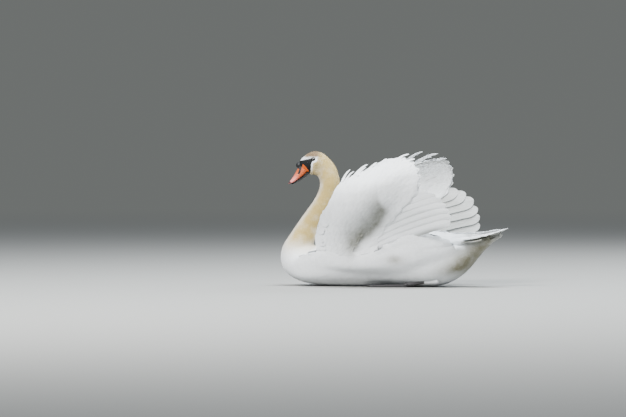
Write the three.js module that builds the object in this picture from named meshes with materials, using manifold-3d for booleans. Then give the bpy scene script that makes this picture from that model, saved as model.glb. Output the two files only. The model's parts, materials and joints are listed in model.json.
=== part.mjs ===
// A life-size mute swan floating in its busking display: neck drawn back in an S, both wings arched
// over the back.
// Millimetres. +Z is up, -Y is the way the body faces, +X is the swan's left.
// The origin lies under the middle of the belly, on the level that the belly and the feet rest on.
import * as THREE from "three";
import { mergeVertices } from "three/addons/utils/BufferGeometryUtils.js";
import Module from "manifold-3d";

const wasm = await Module();
wasm.setup();

// ---------------------------------------------------------------- driving dimensions

const GAP = 0.35; // clear air between neighbouring solids
const REST_LEVEL = 0; // the belly and the feet end in flats at this height
const BODY_SEGMENTS = 20; // sides of a section through the trunk
const NECK_SEGMENTS = 16; // sides of a section through the neck and head

const HEAD_TURN = THREE.MathUtils.degToRad(10); // the head looks a little to the swan's left
const TURN_PIVOT_Y = -240; // the vertical axis through the top of the neck that the head turns about

// Sections across the trunk, from the breast to the vent: [y, belly height, back height, half width].
const TRUNK = [
  [-412, 96, 120, 10],
  [-405, 66, 136, 43],
  [-385, 40, 141, 67],
  [-350, 18, 138, 87],
  [-300, 5, 133, 105],
  [-250, 0, 154, 115],
  [-185, -2, 190, 118],
  [-100, -2, 213, 119],
  [0, -2, 221, 119],
  [90, -2, 210, 117],
  [150, 0, 196, 111],
  [200, 12, 186, 98],
  [240, 36, 182, 82],
  [270, 62, 180, 68],
  [293, 90, 180, 56],
  [317, 119, 180, 44],
  [341, 143, 181, 33],
  [373, 166, 184, 20],
  [392, 180, 188, 9],
];
const TRUNK_RINGS = 20;
const TRUNK_WIDEST = 0.42; // share of the height at which the trunk is widest
const TRUNK_SQUARENESS = 2.25; // 2 is an ellipse

// The pad of flank feathers that the wing is tucked behind: [y, lower edge z, upper edge z, outer face x].
const FLANK = [
  [-352, 84, 93, 87],
  [-310, 66, 122, 106],
  [-262, 54, 136, 122],
  [-200, 48, 130, 134],
  [-130, 46, 120, 141],
  [-60, 46, 123, 145],
  [2, 48, 147, 147],
  [60, 52, 175, 147],
  [108, 58, 198, 144],
  [150, 66, 191, 133],
  [200, 84, 172, 111],
  [235, 104, 158, 91],
  [262, 124, 142, 75],
];
const FLANK_GRID = { columns: 10, rows: 4, edge: 2, depth: 24, lowerTuck: 33, upperTuck: 3 };

// Ribs of the neck and head, from the breast to the root of the bill. Each spans the throat side to the
// nape side: [throat y, throat z, nape y, nape z, half width].
const NECK = [
  [-403, 100, -318, 98, 76],
  [-408, 128, -308, 118, 70],
  [-400, 151, -301, 138, 61],
  [-383, 176, -291, 160, 53],
  [-364, 204, -281, 183, 46],
  [-341, 237, -267, 210, 41],
  [-313, 274, -249, 238, 38],
  [-297, 295, -235, 260, 36],
  [-286, 313, -219, 286, 35],
  [-277, 332, -206, 316, 34.5],
  [-271, 348, -199, 346, 34],
  [-270, 358, -199, 370, 33.5],
  [-271, 367, -203, 391, 33],
  [-273, 375, -209, 409, 32],
  [-275, 380, -218, 425, 31],
  [-278, 384, -229, 440, 30],
  [-282, 387, -243, 454, 29.5],
  [-286, 388.5, -257, 465, 29],
  [-291, 389, -272, 472, 28.5],
  [-297, 389, -288, 474.5, 28],
  [-303, 388.5, -304, 471, 26.5],
  [-308, 388, -318, 463.5, 24.5],
  [-312, 388.5, -331, 453, 22],
  [-315, 391, -342, 441, 19.5],
  [-317, 395, -350, 430.5, 17.5],
];
const NECK_CUTS = [5, 9, 12]; // the ribs at which the neck is parted, the last one under the head
const CUT_SHARE = 0.016; // half the width of such a cut, as a share of the distance between two ribs
const JOWL = 0.44; // share of a rib's length, from the throat, at which it is widest

// Ribs of the upper half of the bill, root to tip: [lower edge y, z, culmen y, z, half width].
const UPPER_BILL = [
  [-309, 406, -339, 428, 16.5],
  [-318, 396, -346, 419, 16.5],
  [-329, 386, -350.5, 409, 16],
  [-339, 378, -355.5, 399, 15],
  [-348, 371.5, -361, 389, 15],
  [-356, 366, -367, 379.5, 15.5],
  [-364, 361.5, -373, 371.5, 15.5],
  [-371.5, 358.7, -378.5, 365, 13],
  [-378, 357.7, -383, 361, 8],
];
const LOWER_BILL = [
  [-305, 396, -311, 401, 14.5],
  [-316, 386.5, -321, 391, 13.5],
  [-328, 378, -333, 382, 12.8],
  [-340, 370, -344, 374, 12.5],
  [-351, 363.5, -354, 367.5, 12.5],
  [-361, 358.5, -363, 362, 11],
  [-369, 355.7, -370, 358, 7],
];
const KNOB = { y: -343.5, z: 423.5, long: 10.5, wide: 10, high: 9.5 };
const EYE = { y: -291.5, z: 444.5, out: 21.6, radius: 5.6 };

// The raised wing is a curved sail. [height z, distance out from the middle of the body].
const SAIL_PROFILE = [
  [60, 126], [90, 128], [120, 130], [150, 132], [180, 137], [210, 148], [240, 166], [270, 185],
  [300, 200], [330, 209], [360, 214], [390, 214], [420, 210], [450, 204], [480, 196], [510, 186],
];
const SAIL = {
  middleY: -20,
  frontSpan: 236,
  frontWrap: 0.22, // how far the front edge wraps round the breast
  topAtMiddle: 419, // the top edge of the sail at y = 0
  topSlope: 0.36,
  curl: 26, // how far the top edge curls inwards
  curlDepth: 80, // the curl begins this far below the top edge
  flare: { out: 40, from: 60, to: 260, full: 210, none: 300 }, // the lowest tips spread away from the tail
};

// The feathered arm: [front edge y, z, rear edge y, z, bulge] from the flank to the top.
const ARM = [
  [-238, 84, -104, 84, 3],
  [-252, 122, -100, 126, 8],
  [-256, 158, -84, 164, 20],
  [-241, 203, -44, 200, 31],
  [-226, 236, -2, 242, 34],
  [-184, 287, 42, 290, 33],
  [-156, 334, 78, 338, 28],
  [-130, 364, 101, 382, 21],
  [-84, 382, 110, 414, 14],
  [-20, 412, 108, 436, 8],
  [40, 435, 92, 449, 4],
];
const ARM_GRID = { columns: 8, rows: 10 };
const ARM_EDGE = 2.4; // thickness along its edges
const ARM_CLEARANCE = 3; // between the arm and the long feathers under it

// The ramp of the shoulder, from the back up to the inside of the wing:
// [y, foot x, foot z, hollow x, hollow z, top z, clearance from the sail].
const SHOULDER = [
  [-236, 60, 140, 88, 150, 172, 0],
  [-205, 46, 170, 90, 186, 226, 1],
  [-165, 38, 186, 92, 203, 256, 8],
  [-115, 36, 198, 96, 213, 270, 13],
  [-65, 38, 206, 98, 218, 262, 13],
  [-20, 46, 208, 96, 213, 240, 13],
  [20, 58, 198, 98, 202, 214, 13],
];
const SHOULDER_FOOT = [70, 128]; // the ramp reaches down into the pocket between the trunk and the wing

// Tips of the long scapulars and tertials, front to rear, and of the secondaries below them.
const TERTIAL_TIPS = [
  [-109, 405], [-43, 423], [14, 442], [64, 457], [109, 461], [141, 441],
  [158, 415], [161, 389], [156, 361], [147, 333],
];
const SECONDARY_TIPS = { right: [[176, 331], [206, 320], [236, 298], [252, 269], [260, 241], [262, 211]] };
SECONDARY_TIPS.left = SECONDARY_TIPS.right.slice(0, -1); // the lowest one stays folded
const TERTIALS = {
  roots: [[-172, 262], [-70, 200]], bow: [0.03, 0.17, 0.08], lift: 0, taper: 0.72, columns: 3,
};
const SECONDARY_ROOTS = { right: [[-104, 206], [-84, 102]], left: [[-104, 206], [-96, 106]] };
const SECONDARIES = { bow: [0.05, 0.05, 0.02], lift: -6.2, taper: 0.5, columns: 4 };
const VANE = { thickness: 2.6, step: 1.6, rows: 3, notch: 0.055 };

// The folded primaries lie along the rump: [y, lower edge z, upper edge z, depth over the rump].
const PRIMARIES = [
  [110, 150, 186, 4],
  [150, 148, 189, 8],
  [200, 148, 185, 9],
  [235, 150, 184.5, 9],
  [270, 157, 186, 8],
  [308, 167, 189, 6.5],
  [338, 176, 191, 5],
  [367, 184, 196, 4],
  [388, 191, 200, 2.5],
];
const PRIMARY_INSET = [44, 12]; // how far from the middle the folded wing tips lie, at the root and the tip
const PRIMARY_RINGS = 7;

// The tail: a shallow roof of stiff feathers, longest in the middle.
const TAIL = {
  feathers: 8, columns: 3, rows: 3, root: [212, 181], tip: [414, 206], sag: 6, side: 62, sweep: 96,
  droop: 26, thickness: 3, notch: 9, lap: 1.2,
};

// One leg and webbed foot, folded flat under the flank. Distances from the middle line are to the outside.
const LEG = { ankle: [62, 176, 25], ball: [78, 66, 9], thick: 8.5, thin: 6 };
const FOOT_BED = { margin: 3, height: 18 }; // the hollow under the belly that the foot lies in
const TOES = [
  { out: -24, length: 110, knuckles: 3 },
  { out: 3, length: 136, knuckles: 4 },
  { out: 31, length: 122, knuckles: 3 },
];
const TOE_RADIUS = 6;
const WEB = { height: 3, reach: 0.82 };
const CLAW = { length: 13, radius: 3.4 };

// ---------------------------------------------------------------- materials

const paint = (color, roughness, metalness = 0) =>
  new THREE.MeshStandardMaterial({ color, roughness, metalness });
const WHITE = paint(0xe9ebea, 0.8);
const CREAM = paint(0xd9ccab, 0.85);
const SHADED = paint(0xdcdcd4, 0.8);
const ORANGE = paint(0xe06a30, 0.4);
const BLACK = paint(0x17181b, 0.45);
const EYE_DARK = paint(0x120c08, 0.08);
const FOOT = paint(0x2c2d2e, 0.6);

// ---------------------------------------------------------------- solids

// A closed geometry as a solid, turned to face outwards.
function solidOf(geometry) {
  const bare = geometry.clone();
  bare.deleteAttribute("normal");
  bare.deleteAttribute("uv");
  const merged = mergeVertices(bare, 1e-3);
  const make = (triVerts) =>
    new wasm.Manifold(
      new wasm.Mesh({ numProp: 3, vertProperties: merged.attributes.position.array, triVerts }),
    );
  const triVerts = new Uint32Array(merged.index.array);
  const made = make(triVerts);
  if (made.volume() > 0) return made;
  for (let i = 0; i < triVerts.length; i += 3) {
    [triVerts[i + 1], triVerts[i + 2]] = [triVerts[i + 2], triVerts[i + 1]];
  }
  return make(triVerts);
}

function geometryOf(solid) {
  const made = solid.getMesh();
  const places = new Float32Array(made.numVert * 3);
  for (let i = 0; i < made.numVert; i++) {
    places.set(made.vertProperties.subarray(i * made.numProp, i * made.numProp + 3), i * 3);
  }
  const geometry = new THREE.BufferGeometry();
  geometry.setAttribute("position", new THREE.BufferAttribute(places, 3));
  geometry.setIndex(new THREE.BufferAttribute(made.triVerts, 1));
  geometry.computeVertexNormals();
  return geometry;
}

// The largest connected piece of a solid: a cut can shave off slivers.
function mainPiece(solid) {
  return solid.decompose().sort((a, b) => b.volume() - a.volume())[0];
}

function meshOf(name, solid, material) {
  const mesh = new THREE.Mesh(geometryOf(mainPiece(solid)), material);
  mesh.name = name;
  return mesh;
}

const without = (solid, ...cutters) => cutters.reduce((left, cutter) => left.subtract(cutter), solid);

// A smooth curve through rows of numbers, at a place counted in rows.
function along(rows, place) {
  const last = rows.length - 1;
  const i = Math.min(Math.floor(place), last - 1);
  const t = place - i;
  const at = (k) => rows[THREE.MathUtils.clamp(k, 0, last)];
  return rows[0].map((_, c) => {
    const [a, b, d, e] = [at(i - 1)[c], at(i)[c], at(i + 1)[c], at(i + 2)[c]];
    const square = 2 * a - 5 * b + 4 * d - e;
    const cube = 3 * b - a - 3 * d + e;
    return 0.5 * (2 * b + (d - a) * t + square * t ** 2 + cube * t ** 3);
  });
}

// Triangles over a grid of points given row by row, joined round when closed is set.
function gridFaces(rows, columns, closed, start = 0) {
  const faces = [];
  const spans = closed ? columns : columns - 1;
  for (let r = 0; r < rows - 1; r++) {
    for (let c = 0; c < spans; c++) {
      const a = start + r * columns + c;
      const b = start + r * columns + ((c + 1) % columns);
      faces.push(a, b, b + columns, a, b + columns, a + columns);
    }
  }
  return faces;
}

function meshGeometry(points, faces) {
  const geometry = new THREE.BufferGeometry();
  const numbers = points.flatMap((p) => [p.x, p.y, p.z]);
  geometry.setAttribute("position", new THREE.Float32BufferAttribute(numbers, 3));
  geometry.setIndex(faces);
  return geometry;
}

// A closed tube through rings of equally many points, its two ends flat.
function loft(rings) {
  const n = rings[0].length;
  const middle = (ring) =>
    ring.reduce((sum, p) => sum.add(p), new THREE.Vector3()).divideScalar(n);
  const points = [...rings.flat(), middle(rings[0]), middle(rings.at(-1))];
  const faces = gridFaces(rings.length, n, true);
  const first = rings.length * n;
  const end = first - n;
  for (let i = 0; i < n; i++) {
    const j = (i + 1) % n;
    faces.push(first, j, i, first + 1, end + i, end + j);
  }
  return meshGeometry(points, faces);
}

// A rounded section between a low and a high point of the side view. Squareness 2 is an ellipse.
function section({ low, high, half, widest = 0.5, squareness = 2, segments, turn = 0, grow = 0 }) {
  const span = new THREE.Vector2(high[0] - low[0], high[1] - low[1]);
  const size = span.length();
  const unit = span.clone().divideScalar(size);
  const middle = new THREE.Vector2(low[0], low[1]).addScaledVector(unit, size * widest);
  const power = 2 / squareness;
  const bent = (value) => Math.sign(value) * Math.abs(value) ** power;
  return Array.from({ length: segments }, (_, i) => {
    const angle = (2 * Math.PI * i) / segments;
    const up = bent(Math.sin(angle));
    const reach = up > 0 ? size * (1 - widest) + grow : size * widest + grow;
    const [x, y, z] = [
      (half + grow) * bent(Math.cos(angle)),
      middle.x + unit.x * up * reach,
      middle.y + unit.y * up * reach,
    ];
    const ahead = TURN_PIVOT_Y - y;
    return new THREE.Vector3(
      x * Math.cos(turn) + ahead * Math.sin(turn),
      TURN_PIVOT_Y - ahead * Math.cos(turn) + x * Math.sin(turn),
      z,
    );
  });
}

// A thin closed sheet. place(u, r, side) gives its points: u across, r along, side 0 or 1 through the
// thickness. Overshoot carries it a little past its own edges.
function sheet(columns, rows, place, overshoot = 0) {
  const wider = (t) => t + (t * 2 - 1) * overshoot;
  const faceOf = (side) =>
    Array.from({ length: (rows + 1) * (columns + 1) }, (_, k) =>
      place(wider((k % (columns + 1)) / columns), wider(Math.floor(k / (columns + 1)) / rows), side),
    );
  const count = (rows + 1) * (columns + 1);
  const front = gridFaces(rows + 1, columns + 1, false);
  const faces = [...front];
  for (let i = 0; i < front.length; i += 3) {
    faces.push(count + front[i], count + front[i + 2], count + front[i + 1]);
  }
  const edge = [];
  for (let c = 0; c < columns; c++) edge.push(c);
  for (let r = 0; r < rows; r++) edge.push(r * (columns + 1) + columns);
  for (let c = columns; c > 0; c--) edge.push(rows * (columns + 1) + c);
  for (let r = rows; r > 0; r--) edge.push(r * (columns + 1));
  edge.forEach((a, i) => {
    const b = edge[(i + 1) % edge.length];
    faces.push(b, a, count + a, b, count + a, count + b);
  });
  return meshGeometry([...faceOf(0), ...faceOf(1)], faces);
}

// ---------------------------------------------------------------- body

function trunkSolid(grow = 0) {
  const rings = Array.from({ length: TRUNK_RINGS + 1 }, (_, i) => {
    const [y, belly, back, half] = along(TRUNK, (i * (TRUNK.length - 1)) / TRUNK_RINGS);
    return section({
      low: [y, belly], high: [y, back], half, grow,
      widest: TRUNK_WIDEST, squareness: TRUNK_SQUARENESS, segments: BODY_SEGMENTS,
    });
  });
  if (grow) {
    rings[0].forEach((p) => (p.y -= grow));
    rings.at(-1).forEach((p) => (p.y += grow));
  }
  return solidOf(loft(rings));
}

// How far the head's turn has come at a rib of the neck.
const turnAt = (rib) => HEAD_TURN * THREE.MathUtils.smoothstep(rib, NECK_CUTS[0] + 1, NECK_CUTS[2] + 3);

function neckSolid(from, to, rings) {
  const sections = Array.from({ length: rings + 1 }, (_, i) => {
    const rib = from + ((to - from) * i) / rings;
    const [ly, lz, hy, hz, half] = along(NECK, rib);
    return section({
      low: [ly, lz], high: [hy, hz], half, turn: turnAt(rib),
      widest: JOWL, squareness: 2.15, segments: NECK_SEGMENTS,
    });
  });
  return solidOf(loft(sections));
}

function billSolid(ribs, rings, squareness, grow = 0) {
  const sections = Array.from({ length: rings + 1 }, (_, i) => {
    const [ly, lz, hy, hz, half] = along(ribs, (i * (ribs.length - 1)) / rings);
    return section({
      low: [ly, lz], high: [hy, hz], half, grow, turn: HEAD_TURN,
      widest: 0.3, squareness, segments: 12,
    });
  });
  if (grow) {
    const [root, next] = sections;
    root.forEach((p, k) => p.addScaledVector(p.clone().sub(next[k]).normalize(), grow * 2));
  }
  return solidOf(loft(sections));
}

// A point of the turned head: x out to the left, y and z as in the side view.
function onHead(x, y, z) {
  const ahead = TURN_PIVOT_Y - y;
  return new THREE.Vector3(
    x * Math.cos(HEAD_TURN) + ahead * Math.sin(HEAD_TURN),
    TURN_PIVOT_Y - ahead * Math.cos(HEAD_TURN) + x * Math.sin(HEAD_TURN),
    z,
  );
}

function ball(centre, radii, detail = 10) {
  const geometry = new THREE.SphereGeometry(1, detail, Math.round(detail * 0.7));
  geometry.scale(...radii).rotateZ(HEAD_TURN);
  geometry.translate(...centre);
  return solidOf(geometry);
}

const knob = (grow = 0) =>
  ball(onHead(0, KNOB.y, KNOB.z), [KNOB.wide + grow, KNOB.long + grow, KNOB.high + grow]);
const eye = (side, grow = 0) => {
  const radius = EYE.radius + grow;
  return ball(onHead(side * EYE.out, EYE.y, EYE.z), [radius, radius, radius]);
};

// ---------------------------------------------------------------- wings

// How far out the sail of the wing stands at a point of the side view.
function sailOut(y, z) {
  const [first, step] = [SAIL_PROFILE[0][0], SAIL_PROFILE[1][0] - SAIL_PROFILE[0][0]];
  const out = along(SAIL_PROFILE, Math.max(0, (z - first) / step))[1];
  const front = Math.max(0, SAIL.middleY - y) / SAIL.frontSpan;
  const below = SAIL.topAtMiddle + SAIL.topSlope * y - z;
  const curl = SAIL.curl * Math.max(0, 1 - below / SAIL.curlDepth) ** 2;
  const { out: spread, from, to, full, none } = SAIL.flare;
  const low = THREE.MathUtils.clamp((none - z) / (none - full), 0, 1);
  const flare = spread * low * THREE.MathUtils.clamp((y - from) / (to - from), 0, 1);
  return out * (1 - SAIL.frontWrap * front ** 2) - curl + flare;
}

const onSail = (wing, y, z, off) => new THREE.Vector3(wing.side * (sailOut(y, z) + off), y, z);
const mix = (a, b, t) => a.map((value, i) => value + (b[i] - value) * t);
const mixNumber = (a, b, t) => a + (b - a) * t;

// A fan of overlapping feathers on the sail. Each one's tip is rounded and laps over the next.
function featherFan(wing, tips, { roots, bow, lift, taper, columns }, grow = 0) {
  const count = tips.length;
  const place = (u, r, side) => {
    const feather = THREE.MathUtils.clamp(u * count, 0, count - 1e-6);
    const within = (feather % 1) * 2 - 1; // -1 to 1 across one feather
    const root = mix(roots[0], roots[1], u);
    const tip = along(tips, THREE.MathUtils.clamp(feather - 0.5, 0, count - 1));
    const arch = along(bow.map((b) => [b]), THREE.MathUtils.clamp(u * 2, 0, 2))[0];
    const [dy, dz] = [tip[0] - root[0], tip[1] - root[1]];
    const t = r * (1 - VANE.notch * (1 - Math.sqrt(1 - 0.98 * within ** 2)) * (taper + 0.6));
    const rise = 4 * arch * t * (1 - t);
    const lap = VANE.step * (within * 0.5 + 0.5) * Math.max(0, r);
    const face = side ? -VANE.thickness - grow : grow;
    return onSail(wing, root[0] + dy * t - dz * rise, root[1] + dz * t + dy * rise, lift - lap + face);
  };
  return solidOf(sheet(count * columns, VANE.rows, place, grow ? 0.004 : 0));
}

function armSolid(wing, grow = 0) {
  const place = (u, r, side) => {
    const [fy, fz, ry, rz, bulge] = along(ARM, THREE.MathUtils.clamp(r, 0, 1) * (ARM.length - 1));
    const [y, z] = mix([fy, fz], [ry, rz], u);
    const crown = Math.sin(Math.PI * THREE.MathUtils.clamp(u, 0, 1)) ** 0.8;
    const outer = ARM_CLEARANCE + ARM_EDGE + bulge * crown;
    return onSail(wing, y, z, side ? ARM_CLEARANCE - grow : outer + grow);
  };
  return solidOf(sheet(ARM_GRID.columns, ARM_GRID.rows, place, grow ? 0.003 : 0));
}

function shoulderSolid(wing) {
  const rings = SHOULDER.map(([y, footX, footZ, hollowX, hollowZ, topZ, clearance]) => {
    const wall = [1, 0.62, 0.28].map((share) => {
      const z = mixNumber(SHOULDER_FOOT[1], topZ, share);
      return [sailOut(y, z) - clearance, z];
    });
    const outline = [[footX, footZ], [hollowX, hollowZ], ...wall, SHOULDER_FOOT];
    return outline.map(([x, z]) => new THREE.Vector3(wing.side * x, y, z));
  });
  return solidOf(loft(rings));
}

// A pad with a free upper edge that stands off the body and leaves a pocket for the wing.
function flankSolid(side) {
  const { columns, rows, edge, depth, lowerTuck, upperTuck } = FLANK_GRID;
  const place = (u, r, face) => {
    const [y, low, high, out] = along(FLANK, u * (FLANK.length - 1));
    const belly = Math.max(0, 1 - r / 0.5);
    const lip = Math.max(0, r - 0.6) / 0.4;
    const outer = out - lowerTuck * belly ** 2 - upperTuck * lip ** 2;
    const crown = Math.sin(Math.PI * r) ** 0.7 * Math.sin(Math.PI * u) ** 0.6;
    const x = face ? outer - edge - depth * crown : outer;
    return new THREE.Vector3(side * x, y, mixNumber(low, high, r));
  };
  return solidOf(sheet(columns, rows, place));
}

function primarySolid(wing, grow = 0) {
  const rings = Array.from({ length: PRIMARY_RINGS + 1 }, (_, i) => {
    const share = i / PRIMARY_RINGS;
    const [y, low, high, depth] = along(PRIMARIES, share * (PRIMARIES.length - 1));
    const inset = mixNumber(...PRIMARY_INSET, share);
    const outAt = (z) => Math.max(trunkHalfAt(y, z), inset * 0.6);
    const [upper, lower] = [mixNumber(high, low, 0.35), mixNumber(high, low, 0.72)];
    const outline = [
      [Math.max(outAt(high) * 0.75, inset) - 4 - grow, high - 3],
      [Math.max(outAt(high), inset) + depth * 0.4, high + grow],
      [outAt(upper) + depth + grow, upper],
      [outAt(lower) + depth + grow, lower],
      [outAt(low) + depth * 0.4, low - grow],
      [outAt(low) - 6 - grow, low + 3],
    ];
    return outline.map(([x, z]) => new THREE.Vector3(wing.side * x, y, z));
  });
  return solidOf(loft(rings));
}

// Half the trunk's width at a place along it and a height.
function trunkHalfAt(y, z) {
  const row = TRUNK.findIndex((_, i) => i + 1 < TRUNK.length && TRUNK[i + 1][0] >= y);
  if (row < 0) return 0;
  const t = (y - TRUNK[row][0]) / (TRUNK[row + 1][0] - TRUNK[row][0]);
  const [, belly, back, half] = along(TRUNK, row + t);
  const middle = belly + (back - belly) * TRUNK_WIDEST;
  const share = Math.min(1, Math.abs(z - middle) / (z > middle ? back - middle : middle - belly));
  return half * (1 - share ** TRUNK_SQUARENESS) ** (1 / TRUNK_SQUARENESS);
}

// ---------------------------------------------------------------- tail

function tailSolid(grow = 0) {
  const { feathers, columns, rows, root, tip, sag, side, sweep, droop, thickness, notch, lap } = TAIL;
  const place = (u, r, face) => {
    const feather = THREE.MathUtils.clamp(u * feathers, 0, feathers - 1e-6);
    const within = (feather % 1) * 2 - 1;
    const across = u * 2 - 1;
    const end = tip[0] - sweep * Math.abs(across) ** 1.5 - notch * (1 - Math.sqrt(1 - 0.98 * within ** 2));
    const y = root[0] + (end - root[0]) * r;
    const share = (y - root[0]) / (tip[0] - root[0]);
    const x = across * side * (0.62 + 0.38 * r) * (1 + 0.15 * Math.sin(Math.PI * share));
    const ridge = mixNumber(root[1], tip[1], share) - sag * Math.sin(Math.PI * share);
    const step = lap * (Math.sign(across) * within * 0.5 + 0.5) * Math.max(0, r);
    const z = ridge - droop * Math.abs(across) ** 1.4 - step + (face ? -thickness - grow : grow);
    return new THREE.Vector3(x, y, z);
  };
  return solidOf(sheet(feathers * columns, rows, place, grow ? 0.004 : 0));
}

// ---------------------------------------------------------------- legs and feet

function rod(points, radii, steps, grow = 0, segments = 5) {
  const curve = new THREE.CatmullRomCurve3(points);
  const rings = Array.from({ length: steps + 1 }, (_, i) => {
    const t = i / steps;
    const forward = curve.getTangent(t);
    const past = i === 0 ? -grow : i === steps ? grow : 0;
    const centre = curve.getPoint(t).addScaledVector(forward, past);
    const sideways = new THREE.Vector3(0, 0, 1).cross(forward).normalize();
    const up = forward.clone().cross(sideways);
    const radius = along(radii.map((value) => [value]), t * (radii.length - 1))[0] + grow;
    return Array.from({ length: segments }, (_, k) => {
      const angle = (2 * Math.PI * (k + 0.5)) / segments;
      return centre.clone()
        .addScaledVector(sideways, radius * Math.cos(angle))
        .addScaledVector(up, radius * Math.sin(angle));
    });
  });
  return solidOf(loft(rings));
}

// The hollow in the belly over one folded foot.
function footBed(side) {
  const { margin, height } = FOOT_BED;
  const lines = TOES.map((toe) => toeLine(side, toe));
  const [inner, outer] = [lines[0].at(-1), lines.at(-1).at(-1)];
  const heel = LEG.ball[1] + LEG.thick + margin;
  const toeEnd = lines[1].at(-1).y - CLAW.length - margin;
  const outline = new THREE.Shape([
    new THREE.Vector2(side * (LEG.ball[0] - LEG.thick - margin), heel),
    new THREE.Vector2(side * (LEG.ball[0] + LEG.thick + margin), heel),
    new THREE.Vector2(outer.x + side * (TOE_RADIUS + margin), toeEnd),
    new THREE.Vector2(inner.x - side * (TOE_RADIUS + margin), toeEnd),
  ]);
  const block = new THREE.ExtrudeGeometry(outline, { depth: height + margin, bevelEnabled: false });
  return solidOf(block.translate(0, 0, REST_LEVEL - margin));
}

const floorBlock = () => {
  const size = 2000;
  return solidOf(new THREE.BoxGeometry(size, size, size).translate(0, 0, REST_LEVEL - size / 2));
};

function toeLine(side, { out, length, knuckles }) {
  const [bx, by] = LEG.ball;
  return Array.from({ length: knuckles + 1 }, (_, i) => {
    const t = i / knuckles;
    return new THREE.Vector3(side * (bx + out * t), by - length * t, TOE_RADIUS * (1 - 0.35 * t) - 0.8);
  });
}

function footSolid(side, grow = 0) {
  const toes = TOES.map((toe) => {
    const line = toeLine(side, toe);
    const radii = [1, 0.92, 0.6].map((share) => TOE_RADIUS * share);
    const end = line.at(-1);
    const claw = [end, new THREE.Vector3(end.x, end.y - CLAW.length, 1.6)];
    return rod(line, radii, toe.knuckles + 1, grow).add(rod(claw, [CLAW.radius, 0.7], 1, grow));
  });
  const lines = TOES.map((toe) => toeLine(side, toe));
  const web = new THREE.Shape([
    new THREE.Vector2(lines[0][0].x, LEG.ball[1]),
    new THREE.Vector2(...webEnd(lines[0])),
    new THREE.Vector2(...webDip(lines[0], lines[1])),
    new THREE.Vector2(...webEnd(lines[1])),
    new THREE.Vector2(...webDip(lines[1], lines[2])),
    new THREE.Vector2(...webEnd(lines[2])),
  ]);
  const sheetOfWeb = new THREE.ExtrudeGeometry(web, { depth: WEB.height + grow, bevelEnabled: false });
  const joined = toes.reduce((sum, toe) => sum.add(toe), solidOf(sheetOfWeb));
  return joined.add(ballJoint(side, grow)).subtract(floorBlock());
}

const webEnd = (line) => [line.at(-1).x, line[0].y + (line.at(-1).y - line[0].y) * 0.96];
const webDip = (a, b) => [
  (a.at(-1).x + b.at(-1).x) / 2,
  a[0].y + ((a.at(-1).y + b.at(-1).y) / 2 - a[0].y) * WEB.reach,
];

function ballJoint(side, grow) {
  const [x, y, z] = LEG.ball;
  const geometry = new THREE.SphereGeometry(LEG.thick + 1 + grow, 8, 6);
  geometry.translate(side * x, y, z - 1);
  return solidOf(geometry);
}

function legSolid(side, grow = 0) {
  const [ankle, joint] = [LEG.ankle, LEG.ball].map(([x, y, z]) => new THREE.Vector3(side * x, y, z));
  const line = [ankle, ankle.clone().lerp(joint, 0.25), ankle.clone().lerp(joint, 0.6), joint];
  return rod(line, [LEG.thick + 2, LEG.thin + 1.5, LEG.thin, LEG.thick], 5, grow, 8);
}

// ---------------------------------------------------------------- assembly

const swan = new THREE.Group();
const trunkGrown = trunkSolid(GAP);
const neckEnd = NECK.length - 1;
const sides = [["left", 1], ["right", -1]];

const neckLengths = [
  ["neck_lower", 0, NECK_CUTS[0] - CUT_SHARE, 7],
  ["neck_middle", NECK_CUTS[0] + CUT_SHARE, NECK_CUTS[1] - CUT_SHARE, 5],
  ["neck_upper", NECK_CUTS[1] + CUT_SHARE, NECK_CUTS[2] - CUT_SHARE, 4],
];
for (const [name, from, to, rings] of neckLengths) {
  swan.add(meshOf(name, without(neckSolid(from, to, rings), trunkGrown), CREAM));
}

const upperBillGrown = billSolid(UPPER_BILL, 9, 2.3, GAP);
const lowerBillGrown = billSolid(LOWER_BILL, 6, 2.2, GAP);
const headWhole = neckSolid(NECK_CUTS[2] + CUT_SHARE, neckEnd, 15);
const sockets = sides.map(([, side]) => eye(side, GAP));
swan.add(meshOf("head", without(headWhole, knob(GAP), upperBillGrown, lowerBillGrown, ...sockets), CREAM));
swan.add(meshOf("bill_upper", without(billSolid(UPPER_BILL, 9, 2.3), knob(GAP)), ORANGE));
swan.add(meshOf("bill_knob", knob(), BLACK));
swan.add(meshOf("bill_lower", without(billSolid(LOWER_BILL, 6, 2.2), upperBillGrown), BLACK));
for (const [name, side] of sides) swan.add(meshOf(`eye_${name}`, eye(side), EYE_DARK));

const tailGrown = tailSolid(GAP);
for (const [name, side] of sides) {
  const wing = { side };
  const tips = SECONDARY_TIPS[name];
  const fan = { ...SECONDARIES, roots: SECONDARY_ROOTS[name] };
  const tertials = featherFan(wing, TERTIAL_TIPS, TERTIALS);
  const secondaries = featherFan(wing, tips, fan);
  const pocket = [
    trunkGrown,
    armSolid(wing, GAP),
    featherFan(wing, tips, fan, GAP),
    primarySolid(wing, GAP),
  ];
  swan.add(meshOf(`wing_${name}_arm`, without(armSolid(wing), trunkGrown), WHITE));
  swan.add(meshOf(`wing_${name}_shoulder`, without(shoulderSolid(wing), trunkGrown), WHITE));
  swan.add(meshOf(`wing_${name}_tertials`, without(tertials, trunkGrown), WHITE));
  swan.add(meshOf(`wing_${name}_secondaries`, without(secondaries, trunkGrown), SHADED));
  swan.add(meshOf(`wing_${name}_primaries`, without(primarySolid(wing), trunkGrown, tailGrown), WHITE));
  swan.add(meshOf(`flank_${name}`, without(flankSolid(side), ...pocket), WHITE));
  swan.add(meshOf(`leg_${name}`, without(legSolid(side), footSolid(side, GAP)), FOOT));
  swan.add(meshOf(`foot_${name}`, footSolid(side), FOOT));
}

const hindParts = sides.flatMap(([, side]) => [legSolid(side, GAP), footBed(side)]);
swan.add(meshOf("trunk", without(trunkSolid(), floorBlock(), ...hindParts), WHITE));
swan.add(meshOf("tail", without(tailSolid(), trunkGrown), WHITE));

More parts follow.
